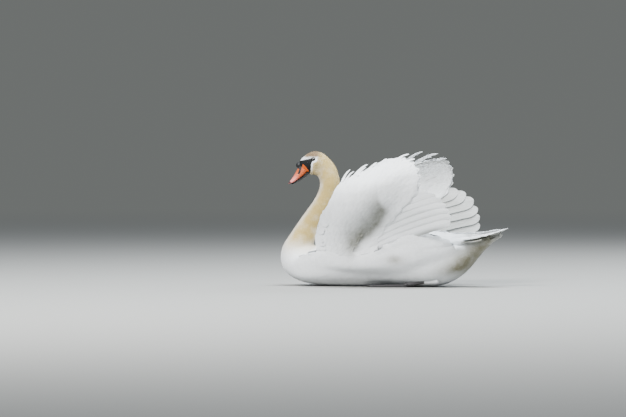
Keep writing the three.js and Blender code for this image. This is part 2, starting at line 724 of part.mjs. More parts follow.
// The origin goes to the middle of the underside of the whole swan.
const extent = new THREE.Box3().setFromObject(swan);
const middle = extent.getCenter(new THREE.Vector3());
swan.position.set(-middle.x, -middle.y, -extent.min.z);
const part = new THREE.Group().add(swan);

export default part;
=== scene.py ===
# A life-size model of a mute swan in its busking display, at rest on its flat belly: one skin under a coat of
# feathers, quills on the raised wings and the tail, a waxy bill, dark eyes and webbed feet.
# Metres. +Z is up, -Y is the way the body faces, +X is the swan's left.
import json
import math

import bpy
import numpy as np
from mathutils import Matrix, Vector
from mathutils.bvhtree import BVHTree

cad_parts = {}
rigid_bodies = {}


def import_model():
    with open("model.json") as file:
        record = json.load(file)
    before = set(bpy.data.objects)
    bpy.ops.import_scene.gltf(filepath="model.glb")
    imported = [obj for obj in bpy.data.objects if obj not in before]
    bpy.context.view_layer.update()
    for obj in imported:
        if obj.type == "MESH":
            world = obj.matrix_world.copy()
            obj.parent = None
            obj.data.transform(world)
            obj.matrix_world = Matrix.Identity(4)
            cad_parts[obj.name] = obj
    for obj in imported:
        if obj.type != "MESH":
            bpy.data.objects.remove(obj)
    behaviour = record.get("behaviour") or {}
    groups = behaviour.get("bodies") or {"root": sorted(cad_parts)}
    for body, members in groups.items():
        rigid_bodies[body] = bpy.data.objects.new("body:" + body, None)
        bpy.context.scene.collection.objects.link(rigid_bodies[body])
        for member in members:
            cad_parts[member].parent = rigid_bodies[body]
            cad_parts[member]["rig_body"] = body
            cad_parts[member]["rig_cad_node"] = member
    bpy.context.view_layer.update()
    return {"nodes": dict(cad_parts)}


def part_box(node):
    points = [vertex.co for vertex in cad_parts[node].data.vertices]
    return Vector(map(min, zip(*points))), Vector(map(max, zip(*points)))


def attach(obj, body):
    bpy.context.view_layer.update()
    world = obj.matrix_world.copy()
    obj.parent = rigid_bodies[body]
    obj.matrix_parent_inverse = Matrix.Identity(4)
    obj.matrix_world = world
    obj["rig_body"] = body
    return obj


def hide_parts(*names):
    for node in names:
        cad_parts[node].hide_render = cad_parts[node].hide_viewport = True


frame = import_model()
BODY = "root"
SIDES = {"left": 1, "right": -1}
CHANCE = np.random.default_rng(11)

# ---------------------------------------------------------------- sizes

FLESH = ["trunk", "neck_lower", "neck_middle", "neck_upper", "head"]
FLESH += [f"flank_{side}" for side in SIDES]
FLESH += [f"wing_{side}_{part}" for side in SIDES for part in ("arm", "shoulder")]

BREAST_AHEAD = 0.412  # how far the breast stands ahead of the swan's own middle
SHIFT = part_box("trunk")[0].y + BREAST_AHEAD  # from the swan's own middle to the middle of its length
HEAD_TURN = math.radians(10)
TURN_PIVOT = -0.240 + SHIFT  # the place along the swan about which the head turns
EYE = {"y": -0.2915, "z": 0.4445, "out": 0.0216, "radius": 0.0056}

KEEL = 0.0003  # how thick a small feather is at its shaft
ROOTED = 0.15  # the share of a small feather's length on which it rises out of the skin
STRAY = 0.006  # a feather whose tip ends farther than this from the skin is left out
REST_GAP = 0.0003  # nothing reaches lower than this above the floor
UNDER_SHADE = 0.85  # how much painted shade lies on the undersides of the quills, for the shade on the far wing
INNER_SHADE = UNDER_SHADE * 0.55  # and painted shade on the small feathers on the inner faces of the wings
VANE_UNIT = 0.01  # one unit of the map that runs along and across each vane
VANE_EDGE = math.radians(60)  # a vane's faces that meet at a sharper turn than this keep a sharp edge
TUFT_PATCH = 0.003  # the size of one tuft on the bake's map
CROWD = 5  # how many places are tried for each root that the spacing asks for
CLOSEST = 0.86  # the share of the spacing that two roots keep between them at least
SKIN_VOXEL = 0.00405  # the grid on which the copies of the flesh are made one
SWELL = 0.0012  # the copies swell by this much so that they meet before they are made one
THICKEST = 0.08  # flesh counts as no thicker than this
CALM_ROUNDS = {"all": 9, "body": 26, "creases": 90}  # how often the skin is relaxed in each part

BREAST_TO, REAR_FROM = -0.27, 0.19  # where the coat of the breast ends and that of the rear starts
BELLY_TO = 0.09  # the height up to which the trunk is belly
RIM_SHARE = 0.12  # how much of the coat's depth the feathers along the edge of a wing fill

# How deep the skin lies under the outside of the coat.
COAT_DEPTH = {"face": 0.0011, "head": 0.0018, "neck": 0.0034, "body": 0.0068, "wing": 0.0042}

# ---------------------------------------------------------------- small tools


def deselect():
    bpy.ops.object.select_all(action="DESELECT")


def pick(piece):
    deselect()
    piece.select_set(True)
    bpy.context.view_layer.objects.active = piece


def modify(piece, kind, **settings):
    modifier = piece.modifiers.new(kind.title(), kind)
    for name, value in settings.items():
        setattr(modifier, name, value)
    pick(piece)
    bpy.ops.object.modifier_apply(modifier=modifier.name)


def edit(piece, operate, **settings):
    """Runs an edit-mode operator on all of a piece."""
    pick(piece)
    bpy.ops.object.mode_set(mode="EDIT")
    bpy.ops.mesh.select_all(action="SELECT")
    operate(**settings)
    bpy.ops.object.mode_set(mode="OBJECT")


def ramp(value, start, end):
    """0 before start, 1 after end, smooth between."""
    t = np.clip((value - start) / (end - start), 0, 1)
    return t * t * (3 - 2 * t)


def unit(vectors):
    return vectors / np.maximum(np.linalg.norm(vectors, axis=-1, keepdims=True), 1e-12)


def to_line(flat, line):
    """How far places in the side view lie from a line of points."""
    nearest = np.full(len(flat), np.inf)
    for start, end in zip(line[:-1], line[1:]):
        reach = end - start
        share = np.clip(((flat - start) @ reach) / (reach @ reach), 0, 1)
        nearest = np.minimum(nearest, np.linalg.norm(flat - start - share[:, None] * reach, axis=1))
    return nearest


def at_each(value, places):
    """A size at each place: value may be a function of the places or the same everywhere."""
    return value(places) if callable(value) else np.full(len(places), value)


def points_of(piece):
    found = np.empty(len(piece.data.vertices) * 3)
    piece.data.vertices.foreach_get("co", found)
    return found.reshape(-1, 3)


def set_points(piece, points):
    piece.data.vertices.foreach_set("co", np.ascontiguousarray(points, float).ravel())
    piece.data.update()


def write_attribute(piece, name, values):
    layer = piece.data.attributes.new(name, "FLOAT", "POINT")
    layer.data.foreach_set("value", np.ascontiguousarray(values, np.float32))


def triangles_of(piece):
    piece.data.calc_loop_triangles()
    found = np.empty(len(piece.data.loop_triangles) * 3, np.int32)
    piece.data.loop_triangles.foreach_get("vertices", found)
    return found.reshape(-1, 3)


def edges_of(piece):
    found = np.empty(len(piece.data.edges) * 2, np.int32)
    piece.data.edges.foreach_get("vertices", found)
    return found.reshape(-1, 2)


def face_normals(points, triangles):
    """The normal of each triangle, as long as twice its area."""
    a, b, c = (points[triangles[:, k]] for k in range(3))
    return np.cross(b - a, c - a)


def vertex_normals(points, triangles):
    face = face_normals(points, triangles)
    total = np.zeros_like(points)
    for corner in range(3):
        for axis in range(3):
            total[:, axis] += np.bincount(triangles[:, corner], face[:, axis], len(points))
    return unit(total)


def relax(points, edges, share, rounds):
    """Moves each point towards the mean of its neighbours by its share, again and again."""
    count = len(points)
    degree = np.maximum(np.bincount(edges.ravel(), minlength=count), 1)
    for _ in range(rounds):
        total = np.empty_like(points)
        for axis in range(3):
            one = np.bincount(edges[:, 0], points[edges[:, 1], axis], count)
            two = np.bincount(edges[:, 1], points[edges[:, 0], axis], count)
            total[:, axis] = (one + two) / degree
        points = points + share[:, None] * (total - points)
    return points


def joined_tree(pieces):
    """Several meshes as one tree to cast rays at, and the number of the mesh that each face comes from."""
    points, triangles, owner, start = [], [], [], 0
    for number, piece in enumerate(pieces):
        points.append(points_of(piece))
        triangles.append(triangles_of(piece) + start)
        owner.append(np.full(len(triangles[-1]), number))
        start += len(points[-1])
    tree = BVHTree.FromPolygons(np.concatenate(points).tolist(), np.concatenate(triangles).tolist())
    return tree, np.concatenate(owner)


def merged_copy(name, nodes, swell):
    """Copies of CAD nodes in one mesh with merged corners, swollen a little."""
    deselect()
    for node in nodes:
        copy = frame["nodes"][node].copy()
        copy.data = copy.data.copy()
        copy.data.materials.clear()
        copy.parent = None
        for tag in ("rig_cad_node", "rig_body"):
            if tag in copy:
                del copy[tag]
        bpy.context.collection.objects.link(copy)
        copy.select_set(True)
        bpy.context.view_layer.objects.active = copy
    if len(nodes) > 1:
        bpy.ops.object.join()
    piece = bpy.context.view_layer.objects.active
    piece.name = name
    edit(piece, bpy.ops.mesh.remove_doubles, threshold=2e-6)
    edit(piece, bpy.ops.mesh.customdata_custom_splitnormals_clear)
    modify(piece, "DISPLACE", strength=swell, mid_level=0)
    return piece


class Surface:
    """A mesh to lay feathers on: finds the nearest place on it and the smooth normal there."""

    OFF = (0.45, 0.002)  # a step that ends off the surface by this share of it, and this much more, is lost
    TURNED = 0.45  # and so is one where the cosine between the old normal and the new is less than this
    NEAR = 0.005  # a vane is laid on the surface where it passes no farther off than this

    def __init__(self, points, triangles, calm=0):
        self.points, self.triangles = points, triangles
        sides = np.concatenate([triangles[:, :2], triangles[:, 1:], triangles[:, ::2]])
        half = np.full(len(points), 0.5)
        self.normals = unit(relax(vertex_normals(points, triangles), sides, half, calm))
        self.tree = BVHTree.FromPolygons(points.tolist(), triangles.tolist())

    def nearest(self, places):
        """The nearest places on the surface, and the smooth normals there."""
        found = [self.tree.find_nearest(Vector(place)) for place in places]
        at = np.array([hit[0] for hit in found])
        return at, self.normal_at(at, np.array([hit[2] for hit in found]))

    def normal_at(self, at, face):
        a, b, c = (self.points[self.triangles[face, k]] for k in range(3))
        whole = np.cross(b - a, c - a)
        area = np.maximum((whole * whole).sum(1), 1e-18)
        shares = [
            (np.cross(c - b, at - b) * whole).sum(1) / area,
            (np.cross(a - c, at - c) * whole).sum(1) / area,
        ]
        shares.append(1 - shares[0] - shares[1])
        corners = self.normals[self.triangles[face]]
        return unit(sum(share[:, None] * corners[:, k] for k, share in enumerate(shares)))

    def follow(self, roots, lie, lengths, stations):
        """Places, normals and directions along feathers that lie on the surface from their roots on.
        A feather that comes to an edge carries straight on."""
        at, normal = self.nearest(roots)
        ahead = along_surface(lie(at), normal)
        spine, ups, aheads = [at], [normal], [ahead]
        for step in np.diff(stations):
            reach = (step * lengths)[:, None]
            goal = at + ahead * reach
            hit, there = self.nearest(goal)
            lost = np.linalg.norm(hit - goal, axis=1, keepdims=True) > self.OFF[0] * reach + self.OFF[1]
            lost |= (there * normal).sum(1, keepdims=True) < self.TURNED
            at = np.where(lost, goal, hit)
            normal = np.where(lost, normal, there)
            ahead = np.where(lost, ahead, along_surface(unit(lie(at)) + 0.5 * ahead, normal))
            spine.append(at)
            ups.append(normal)
            aheads.append(ahead)
        return np.stack(spine, 1), np.stack(ups, 1), np.stack(aheads, 1)

    def holds(self, tips):
        """True for feathers whose tips are still near the surface."""
        return np.linalg.norm(self.nearest(tips)[0] - tips, axis=1) < STRAY

    def drape(self, ground, ups, high):
        """Lays each vane's grid of places on the surface and lifts it by its heights."""
        flat = ground.reshape(-1, 3)
        hit, normal = self.nearest(flat)
        up = np.broadcast_to(ups[:, :, None], ground.shape).reshape(-1, 3)
        near = (np.linalg.norm(hit - flat, axis=1) < self.NEAR) & ((normal * up).sum(1) > 0.5)
        flat = np.where(near[:, None], hit, flat)
        up = np.where(near[:, None], normal, up)
        return (flat + up * high.reshape(-1, 1)).reshape(ground.shape)


# ---------------------------------------------------------------- the turned head


def on_head(x, y, z):
    """A point of the head as it is turned, from its place in a head that looks straight ahead."""
    ahead = TURN_PIVOT - (y + SHIFT)
    sin, cos = math.sin(HEAD_TURN), math.cos(HEAD_TURN)
    return np.array([x * cos + ahead * sin, TURN_PIVOT - ahead * cos + x * sin, z])


def in_head(points):
    """Points as they would lie in a head that looks straight ahead."""
    sin, cos = math.sin(HEAD_TURN), math.cos(HEAD_TURN)
    ahead = TURN_PIVOT - points[:, 1]
    x = points[:, 0] * cos - ahead * sin
    y = TURN_PIVOT - (ahead * cos + points[:, 0] * sin)
    return np.stack([x, y - SHIFT, points[:, 2]], 1)


# The bare black skin between the eye, the forehead and the corner of the mouth.
LORE_TOP = ([-0.352, -0.338, -0.307, -0.289], [0.4300, 0.4402, 0.4455, 0.4500])
LORE_REAR = (
    [0.385, 0.396, 0.4035, 0.4287, 0.4392, 0.4470],
    [-0.3140, -0.3040, -0.3002, -0.2976, -0.2925, -0.2870],
)
EYE_RING = 0.0066  # how far the bare skin reaches round the eye
FAR_OFF = 1.0  # added to the distance where there is no bare skin
# The corner of orange skin behind the bill: its rear and its front edge, as y at heights.
CORNER_REAR = ([0.400, 0.4046, 0.4147, 0.4277], [-0.3070, -0.3082, -0.3152, -0.3284])
CORNER_FRONT = ([0.3958, 0.4133, 0.4277], [-0.3378, -0.3333, -0.3284])


def lore_distance(points):
    """How far points lie outside the bare black skin, below 0 inside it."""
    here = in_head(points)
    top = here[:, 2] - np.interp(here[:, 1], *LORE_TOP)
    rear = here[:, 1] - np.interp(here[:, 2], *LORE_REAR)
    ring = np.hypot((here[:, 1] - EYE["y"]) / 1.25, here[:, 2] - EYE["z"]) - EYE_RING
    ring = ring + FAR_OFF * (np.abs(here[:, 0]) < 0.006)
    return np.minimum(np.maximum(top, rear), ring) + FAR_OFF * (points[:, 2] < 0.37)


# ---------------------------------------------------------------- markings

# The groove in the outer face of a wing and the underside of the tail, as [y, z] along them, where shade is
# painted.
VALLEY = np.array([
    [-0.100, 0.150], [-0.094, 0.164], [-0.056, 0.188], [-0.022, 0.220], [0.002, 0.248], [0.014, 0.268],
])
UNDERTAIL = np.array([[0.262, 0.155], [0.300, 0.1662], [0.335, 0.1760]])
# The front and the back of the neck, as y at heights.
THROAT = (
    [0.10, 0.15, 0.20, 0.25, 0.30, 0.35, 0.38],
    [-0.403, -0.400, -0.366, -0.331, -0.294, -0.271, -0.276],
)
NAPE = (
    [0.10, 0.16, 0.20, 0.25, 0.30, 0.35, 0.40],
    [-0.318, -0.291, -0.271, -0.240, -0.210, -0.199, -0.206],
)
# Round stains: the middle [y, z] and the size along y and z.
CHEEK = ((-0.277, 0.412), (0.017, 0.020))
TUFT = ((0.040, 0.098), (0.030, 0.015))
RIM = {"above": 0.0115, "behind": 0.0072, "mouth": 0.008}  # how wide the white round the bare face is


def blot(y, z, middle, size):
    """A soft round stain, 1 in its middle."""
    return np.exp(-(((y - middle[0]) / size[0]) ** 2) - ((z - middle[1]) / size[1]) ** 2)


def neck_buff(x, y, z):
    """The buff of the neck, deepest on the nape."""
    neck = ramp(z, 0.085, 0.185) * ramp(-y, 0.185, 0.200) * ramp(-np.abs(x), -0.098, -0.080)
    neck = neck * (1 - ramp(-z, -0.225, -0.175) * (1 - ramp(-y, 0.250, 0.300)))
    throat, nape = np.interp(z, *THROAT), np.interp(z, *NAPE)
    behind = np.clip((y - throat) / (nape - throat), 0, 1)
    return neck * (0.52 + 0.48 * np.maximum(ramp(behind, 0.0, 0.42), 0.85 * ramp(z, 0.375, 0.395)))


def white_rim(here, lore):
    """The white round the bare face, widest above it and at the corner of the mouth."""
    above = here[:, 2] - np.interp(here[:, 1], *LORE_TOP)
    rim = np.where(above > 0, RIM["above"], RIM["behind"]) + RIM["mouth"] * ramp(-here[:, 2], -0.404, -0.392)
    return 1 - ramp(lore, rim * 0.5, rim * 1.15)


def orange_corner(here):
    """The corner of orange skin behind the bill."""
    orange = ramp(np.interp(here[:, 2], *CORNER_REAR) - here[:, 1], -0.0007, 0.0007)
    orange = orange * ramp(here[:, 1] - np.interp(here[:, 2], *CORNER_FRONT), -0.0007, 0.0007)
    return orange * ramp(here[:, 2], 0.4005, 0.4030) * ramp(-here[:, 2], -0.4285, -0.4265)


def vent_brown(points):
    """The brown of the vent and of the feathers under the tail."""
    x, y, z = points[:, 0], points[:, 1] - SHIFT, points[:, 2]
    vent = ramp(y - 0.225 - (z - 0.10), -0.055, 0.070) * ramp(z, 0.02, 0.07)
    vent = vent * (1 - 0.4 * ramp(y, 0.33, 0.38))
    return vent * np.where(y > 0.2, ramp(tail_height(x, points[:, 1]) - z, 0.002, 0.008), 1.0)


def fold_shade(points):
    """Painted shade, grey-brown, in the groove in the outer face of each wing, and a painted shadow line
    along the underside of the tail.
    """
    x, y, z = points[:, 0], points[:, 1] - SHIFT, points[:, 2]
    flat = np.stack([y, z], 1)
    ahead = np.interp(z, VALLEY[:, 1], VALLEY[:, 0]) - y
    fold = to_line(flat, VALLEY) / (0.018 + 0.028 * ramp(ahead, -0.008, 0.014))
    fold = np.exp(-(fold**2)) * ramp(np.abs(x) - sail_out(points[:, 1], z), -0.010, -0.006)
    return fold + 0.9 * np.exp(-((to_line(flat, UNDERTAIL) / 0.0042) ** 2))


def markings(points):
    """The stains on the white: how buff, rusty, bare or brown each point is, from 0 to 1, and how much
    painted shade lies on it in the groove of each wing and under the tail.
    """
    x, y, z = points[:, 0], points[:, 1] - SHIFT, points[:, 2]
    here, lore = in_head(points), lore_distance(points)
    head = ramp(z, 0.385, 0.43)
    forehead = ramp(-here[:, 1], 0.312, 0.332) * head
    cheek = blot(here[:, 1], here[:, 2], *CHEEK) * head
    tuft = blot(y, z, *TUFT) * ramp(np.abs(x), 0.09, 0.12)
    stain = 0.95 * vent_brown(points) + 0.6 * tuft + 0.58 * cheek * ramp(lore, 0.008, 0.014)
    crown = ramp(here[:, 2], 0.444, 0.458)
    crown = crown * ramp(here[:, 1], -0.334, -0.312) * ramp(-here[:, 1], 0.255, 0.285)
    return {
        "buff": neck_buff(x, y, z) * (1 - head * white_rim(here, lore)) * (1 - 0.75 * forehead),
        "rust": crown,
        "bare": ramp(-lore, -0.0005, 0.0006),
        "orange": orange_corner(here),
        # painted shade in the groove of each wing, and a painted shadow line under the tail
        "fold": np.clip(0.95 * fold_shade(points), 0, 1),
        "stain": np.clip(stain, 0, 1),
    }


def mark(piece, extra=None):
    """Writes the markings, and any other values, on the piece's points as attributes."""
    values = markings(points_of(piece))
    values.update(extra or {})
    for name, value in values.items():
        write_attribute(piece, name, value)


# ---------------------------------------------------------------- skin


def flesh_thickness(points, edges, triangles):
    """How thick the flesh is behind each point, evened out a little."""
    normals = vertex_normals(points, triangles)
    tree = BVHTree.FromPolygons(points.tolist(), triangles.tolist())
    probe = points - normals * 0.0004
    hits = [tree.ray_cast(Vector(p), Vector(-n), THICKEST)[3] for p, n in zip(probe, normals)]
    thick = np.array([THICKEST if hit is None else hit for hit in hits])
    return relax(thick[:, None].repeat(3, 1), edges, np.full(len(points), 0.5), 4)[:, 0]


def creases(points):
    """1 in the grooves between the flanks and the wings and round the breast, where flesh meets flesh."""
    x, y, z = np.abs(points[:, 0]), points[:, 1], points[:, 2]
    flank = ramp(z, 0.070, 0.090) * ramp(-z, -0.150, -0.125) * ramp(x, 0.085, 0.105) * ramp(-y, -0.02, 0.03)
    front = ramp(-y, 0.235, 0.265) * ramp(x, 0.040, 0.065) * ramp(z, 0.030, 0.050) * ramp(-z, -0.150, -0.120)
    return np.maximum(flank, 0.8 * front)


def coat_depth(points):
    """The depth of the coat over each point of the skin."""
    x, y, z = points[:, 0], points[:, 1], points[:, 2]
    neck = ramp(z, 0.14, 0.24) * (np.abs(x) < 0.085) * (y < -0.17)
    head = ramp(z, 0.385, 0.42) * (np.abs(x) < 0.07) * (y < -0.17)
    face = ramp(-lore_distance(points), -0.022, -0.004) * head
    wing = ramp(z, 0.20, 0.26) * (1 - neck) * (np.abs(x) > 0.085)
    depth = np.full(len(points), COAT_DEPTH["body"])
    for name, share in (("neck", neck), ("wing", wing), ("head", head), ("face", face)):
        depth = depth + (COAT_DEPTH[name] - depth) * share
    return depth


def make_skin():
    """All the flesh as one mesh, inside the outside of the coat by the coat's depth."""
    skin = merged_copy("skin", FLESH + [f"eye_{side}" for side in SIDES], SWELL)
    modify(skin, "REMESH", mode="VOXEL", voxel_size=SKIN_VOXEL)
    points, edges, triangles = points_of(skin), edges_of(skin), triangles_of(skin)
    thick = flesh_thickness(points, edges, triangles)
    share = 0.5 * ramp(thick, 0.006, 0.022)
    body = 1 - ramp(points[:, 2], 0.33, 0.36) * (np.abs(points[:, 0]) < 0.09)
    calm = relax(points, edges, share, CALM_ROUNDS["all"])
    points = calm + (relax(calm, edges, share, CALM_ROUNDS["body"]) - calm) * body[:, None]
    points = relax(points, edges, 0.5 * creases(points), CALM_ROUNDS["creases"])
    inset = np.minimum(SWELL + coat_depth(points), thick * 0.32)
    set_points(skin, points - vertex_normals(points, triangles) * inset[:, None])
    return skin


# ---------------------------------------------------------------- laying feathers


def vane_faces(stations, columns, full):
    """The faces of one closed vane, the place of each face corner on its own patch, from 0 to 1, and which
    faces are shaded smooth. A full vane has an underside of its own, and a plain one rises steeply from its
    root and is closed from both edges to a line of points under its shaft."""
    across = columns + 1
    under = (stations + 1) * across

    def top(r, c):
        return r * across + c

    def spot(r, c):
        return (c / columns, r / stations)

    faces, places, smooth = [], [], []

    def add(corners, spots, soft=False):
        faces.append(corners)
        places.append(spots)
        smooth.append(soft)

    for r in range(stations):
        for c in range(columns):
            ring = [(r, c), (r + 1, c), (r + 1, c + 1), (r, c + 1)]
            add([top(*k) for k in ring], [spot(*k) for k in ring], full or r > 0)
            if full:
                add([under + top(*k) for k in ring[::-1]], [spot(*k) for k in ring[::-1]], True)
        if not full:
            shaft = [(0.5, r / stations), (0.5, (r + 1) / stations)]
            add([top(r, 0), under + r, under + r + 1, top(r + 1, 0)], [spot(r, 0), *shaft, spot(r + 1, 0)])
            add([under + r, top(r, columns), top(r + 1, columns), under + r + 1],
                [shaft[0], spot(r, columns), spot(r + 1, columns), shaft[1]])
    edge = [(0, c) for c in range(columns)] + [(r, columns) for r in range(stations)]
    edge += [(stations, c) for c in range(columns, 0, -1)] + [(r, 0) for r in range(stations, 0, -1)]
    if full:
        for k, here in enumerate(edge):
            there = edge[(k + 1) % len(edge)]
            inward = [(0.03 + 0.94 * spot(*p)[0], 0.03 + 0.94 * spot(*p)[1]) for p in (there, here)]
            corners = [top(*here), top(*there), under + top(*there), under + top(*here)]
            add(corners, [spot(*here), spot(*there)] + inward)
    else:
        for r, toward in ((0, 0.2), (stations, -0.2)):
            row = [(r, c) for c in range(across)]
            row = row if r == 0 else row[::-1]
            spots = [(spot(*k)[0], spot(*k)[1] + toward * (1 - abs(2 * spot(*k)[0] - 1))) for k in row]
            add([top(*k) for k in row] + [under + r], spots + [(0.5, r / stations)])
    return faces, places, smooth


def out_from_shaft(half, across):
    """How far out the places across each vane lie. half is the width to the right and to the left."""
    wide = np.where(across < 0, half[:, :, :1], half[:, :, 1:])
    return np.sign(across) * wide * np.abs(across)


def blade_grid(centre, up, ahead, half, across, arch):
    """Points across each vane: (vanes, stations, places across, 3), and how far out each lies.
    arch drops the edges."""
    side = unit(np.cross(up, ahead))
    out = out_from_shaft(half, across)
    drop = arch * across**2 * half.mean(2, keepdims=True)
    return centre[:, :, None] + side[:, :, None] * out[..., None] - up[:, :, None] * drop[..., None], out


def repeated_mesh(name, points, faces, smooth):
    """One mesh of many like shapes: points holds those of each one, and faces and smooth serve for all."""
    count, each = points.shape[:2]
    sizes = np.array([len(face) for face in faces])
    corners = np.arange(count)[:, None] * each + np.concatenate(faces)
    starts = np.arange(count)[:, None] * sizes.sum() + (np.cumsum(sizes) - sizes)
    mesh = bpy.data.meshes.new(name)
    mesh.vertices.add(count * each)
    mesh.vertices.foreach_set("co", points.ravel())
    mesh.loops.add(corners.size)
    mesh.loops.foreach_set("vertex_index", corners.astype(np.int32).ravel())
    mesh.polygons.add(starts.size)
    mesh.polygons.foreach_set("loop_start", starts.astype(np.int32).ravel())
    mesh.update(calc_edges=True)
    mesh.polygons.foreach_set("use_smooth", np.tile(np.array(smooth), count))
    mesh.set_sharp_from_angle(angle=VANE_EDGE)
    return mesh


def build_vanes(name, top, under, out, patch, fold=None):
    """One mesh of many closed vanes from their grids of points. under is a whole second grid or only the
    line under the shaft. patch gives each one's corner on the bake's map and its size there, and fold how
    much painted shade each point carries for the next vane that lies over it."""
    count, stations, columns = top.shape[0], top.shape[1] - 1, top.shape[2] - 1
    full = under.shape[2] > 1
    below = slice(None) if full else slice(columns // 2, columns // 2 + 1)
    points = np.concatenate([layer.reshape(count, -1, 3) for layer in (top, under)], 1)
    points[..., 2] = np.maximum(points[..., 2], REST_GAP)
    faces, places, smooth = vane_faces(stations, columns, full)
    mesh = repeated_mesh(name, points, faces, smooth)
    corner, size = patch
    bake = mesh.uv_layers.new(name="OFBake")
    bake.data.foreach_set("uv", (corner[:, None] + np.concatenate(places)[None] * size).ravel())
    travel = np.linalg.norm(np.diff(top[:, :, columns // 2], axis=1), axis=2)
    travel = np.concatenate([np.zeros((count, 1)), np.cumsum(travel, 1)], 1)[:, :, None]
    grid = np.stack([out, np.broadcast_to(travel, out.shape)], 3) / VANE_UNIT
    grid = np.concatenate([layer.reshape(count, -1, 2) for layer in (grid, grid[:, :, below])], 1)
    vane = mesh.uv_layers.new(name="vane")
    vane.data.foreach_set("uv", grid[:, np.concatenate(faces)].ravel())
    piece = bpy.data.objects.new(name, mesh)
    bpy.context.collection.objects.link(piece)
    extra = {"tone": np.repeat(CHANCE.random(count), points.shape[1])}
    if fold is not None:
        # painted shade: the shade of the next vane, and more painted shade on the undersides of quills
        shades = [fold, np.minimum(UNDER_SHADE + 0.5 * fold if full else fold, 1)[:, :, below]]
        extra["shade"] = np.concatenate([layer.reshape(count, -1) for layer in shades], 1).ravel()
    mark(piece, extra)
    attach(piece, BODY)
    return piece


# How the feathers lie in the side view: [y, z, towards y, towards z].
LIE = np.array([
    [-0.345, 0.425, 0.35, 0.95], [-0.337, 0.440, 0.6, 0.8], [-0.320, 0.462, 0.75, 0.65],
    [-0.300, 0.474, 1.0, 0.0], [-0.275, 0.470, 0.9, -0.35], [-0.250, 0.460, 0.75, -0.65],
    [-0.228, 0.440, 0.4, -0.9], [-0.305, 0.445, 1.0, 0.1], [-0.290, 0.440, 1.0, -0.1],
    [-0.270, 0.440, 0.9, -0.45], [-0.300, 0.415, 0.95, -0.25], [-0.285, 0.405, 0.85, -0.5],
    [-0.262, 0.410, 0.6, -0.8], [-0.235, 0.405, 0.2, -1.0], [-0.312, 0.388, 1.0, -0.2],
    [-0.290, 0.388, 0.8, -0.6], [-0.273, 0.372, 0.1, -1.0], [-0.205, 0.390, 0.1, -1.0],
    [-0.236, 0.350, -0.05, -1.0], [-0.243, 0.312, -0.3, -0.95], [-0.265, 0.278, -0.55, -0.83],
    [-0.292, 0.238, -0.62, -0.78], [-0.320, 0.197, -0.55, -0.83], [-0.345, 0.160, -0.3, -0.95],
    [-0.395, 0.150, -0.2, -1.0], [-0.408, 0.115, 0.1, -1.0], [-0.400, 0.070, 0.5, -0.87],
    [-0.370, 0.035, 0.85, -0.5], [-0.330, 0.010, 1.0, -0.15], [-0.350, 0.100, 0.45, -0.9],
    [-0.310, 0.100, 0.85, -0.5], [-0.300, 0.150, 0.6, -0.8], [-0.270, 0.060, 1.0, -0.1],
    [-0.250, 0.120, 1.0, -0.2], [-0.200, 0.030, 1.0, 0.0], [-0.200, 0.130, 1.0, 0.0],
    [-0.220, 0.180, 1.0, 0.3], [-0.100, 0.100, 1.0, 0.05], [-0.100, 0.200, 1.0, 0.05],
    [0.000, 0.020, 1.0, 0.0], [0.000, 0.120, 1.0, 0.15], [0.000, 0.210, 1.0, 0.0],
    [0.100, 0.020, 1.0, 0.05], [0.100, 0.140, 1.0, 0.1], [0.100, 0.200, 1.0, -0.1],
    [0.180, 0.020, 0.95, 0.3], [0.200, 0.100, 1.0, 0.15], [0.200, 0.170, 1.0, 0.0],
    [0.250, 0.050, 0.8, 0.6], [0.260, 0.110, 0.9, 0.35], [0.300, 0.100, 0.75, 0.65],
    [0.300, 0.170, 1.0, 0.1], [0.350, 0.150, 0.8, 0.55], [0.385, 0.190, 0.9, 0.3],
])
WING_HINGE = np.array([-0.262, 0.040])  # the feathers of the raised wing spread from about here


def body_lie(points):
    """The lie of the plumage on the head, the neck and the body, from the nearest of its known places."""
    here = points[:, 1:] - [SHIFT, 0]
    away = ((here[:, None] - LIE[:, :2]) ** 2).sum(2) + 4e-6
    weight = away**-2
    flat = (weight[:, :, None] * unit(LIE[:, 2:])).sum(1)
    turned = ramp(points[:, 2], 0.35, 0.40)
    return np.stack([-flat[:, 0] * math.sin(HEAD_TURN) * turned, flat[:, 0], flat[:, 1]], 1)


def wing_lie(points):
    """Away from the hinge of the wing."""
    flat = points[:, 1:] - [SHIFT, 0] - WING_HINGE
    return np.stack([np.zeros(len(points)), flat[:, 0], flat[:, 1]], 1)


def along_surface(direction, normal):
    return unit(direction - normal * (direction * normal).sum(-1, keepdims=True))


def scatter(points, triangles, spacing):
    """Even random places on triangles, about spacing apart, which may vary: the places, the number of the
    triangle that each lies on, and its shares of the triangle's corners."""
    a, b, c = (points[triangles[:, k]] for k in range(3))
    area = np.linalg.norm(face_normals(points, triangles), axis=1) / 2
    middle = (a + b + c) / 3
    gap = at_each(spacing, middle)
    want = area / gap**2
    count = int(want.sum() * CROWD)
    face = np.searchsorted(np.cumsum(want) / want.sum(), CHANCE.random(count))
    face = np.minimum(face, len(triangles) - 1)
    u, v = CHANCE.random(count), CHANCE.random(count)
    flip = u + v > 1
    u, v = np.where(flip, 1 - u, u), np.where(flip, 1 - v, v)
    shares = np.stack([1 - u - v, u, v], 1)
    places = a[face] * shares[:, :1] + b[face] * shares[:, 1:2] + c[face] * shares[:, 2:]
    near = gap[face] * CLOSEST
    boxes = np.floor(places / near.max()).astype(int)
    taken, kept = {}, []
    around = [(i, j, k) for i in (-1, 0, 1) for j in (-1, 0, 1) for k in (-1, 0, 1)]
    for index, (place, (i, j, k)) in enumerate(zip(places.tolist(), boxes.tolist())):
        limit = near[index] ** 2
        beside = (other for a, b, c in around for other in taken.get((i + a, j + b, k + c), ()))
        if not any(sum((p - q) ** 2 for p, q in zip(place, other)) < limit for other in beside):
            taken.setdefault((i, j, k), []).append(place)
            kept.append(index)
    return places[kept], face[kept], shares[kept]


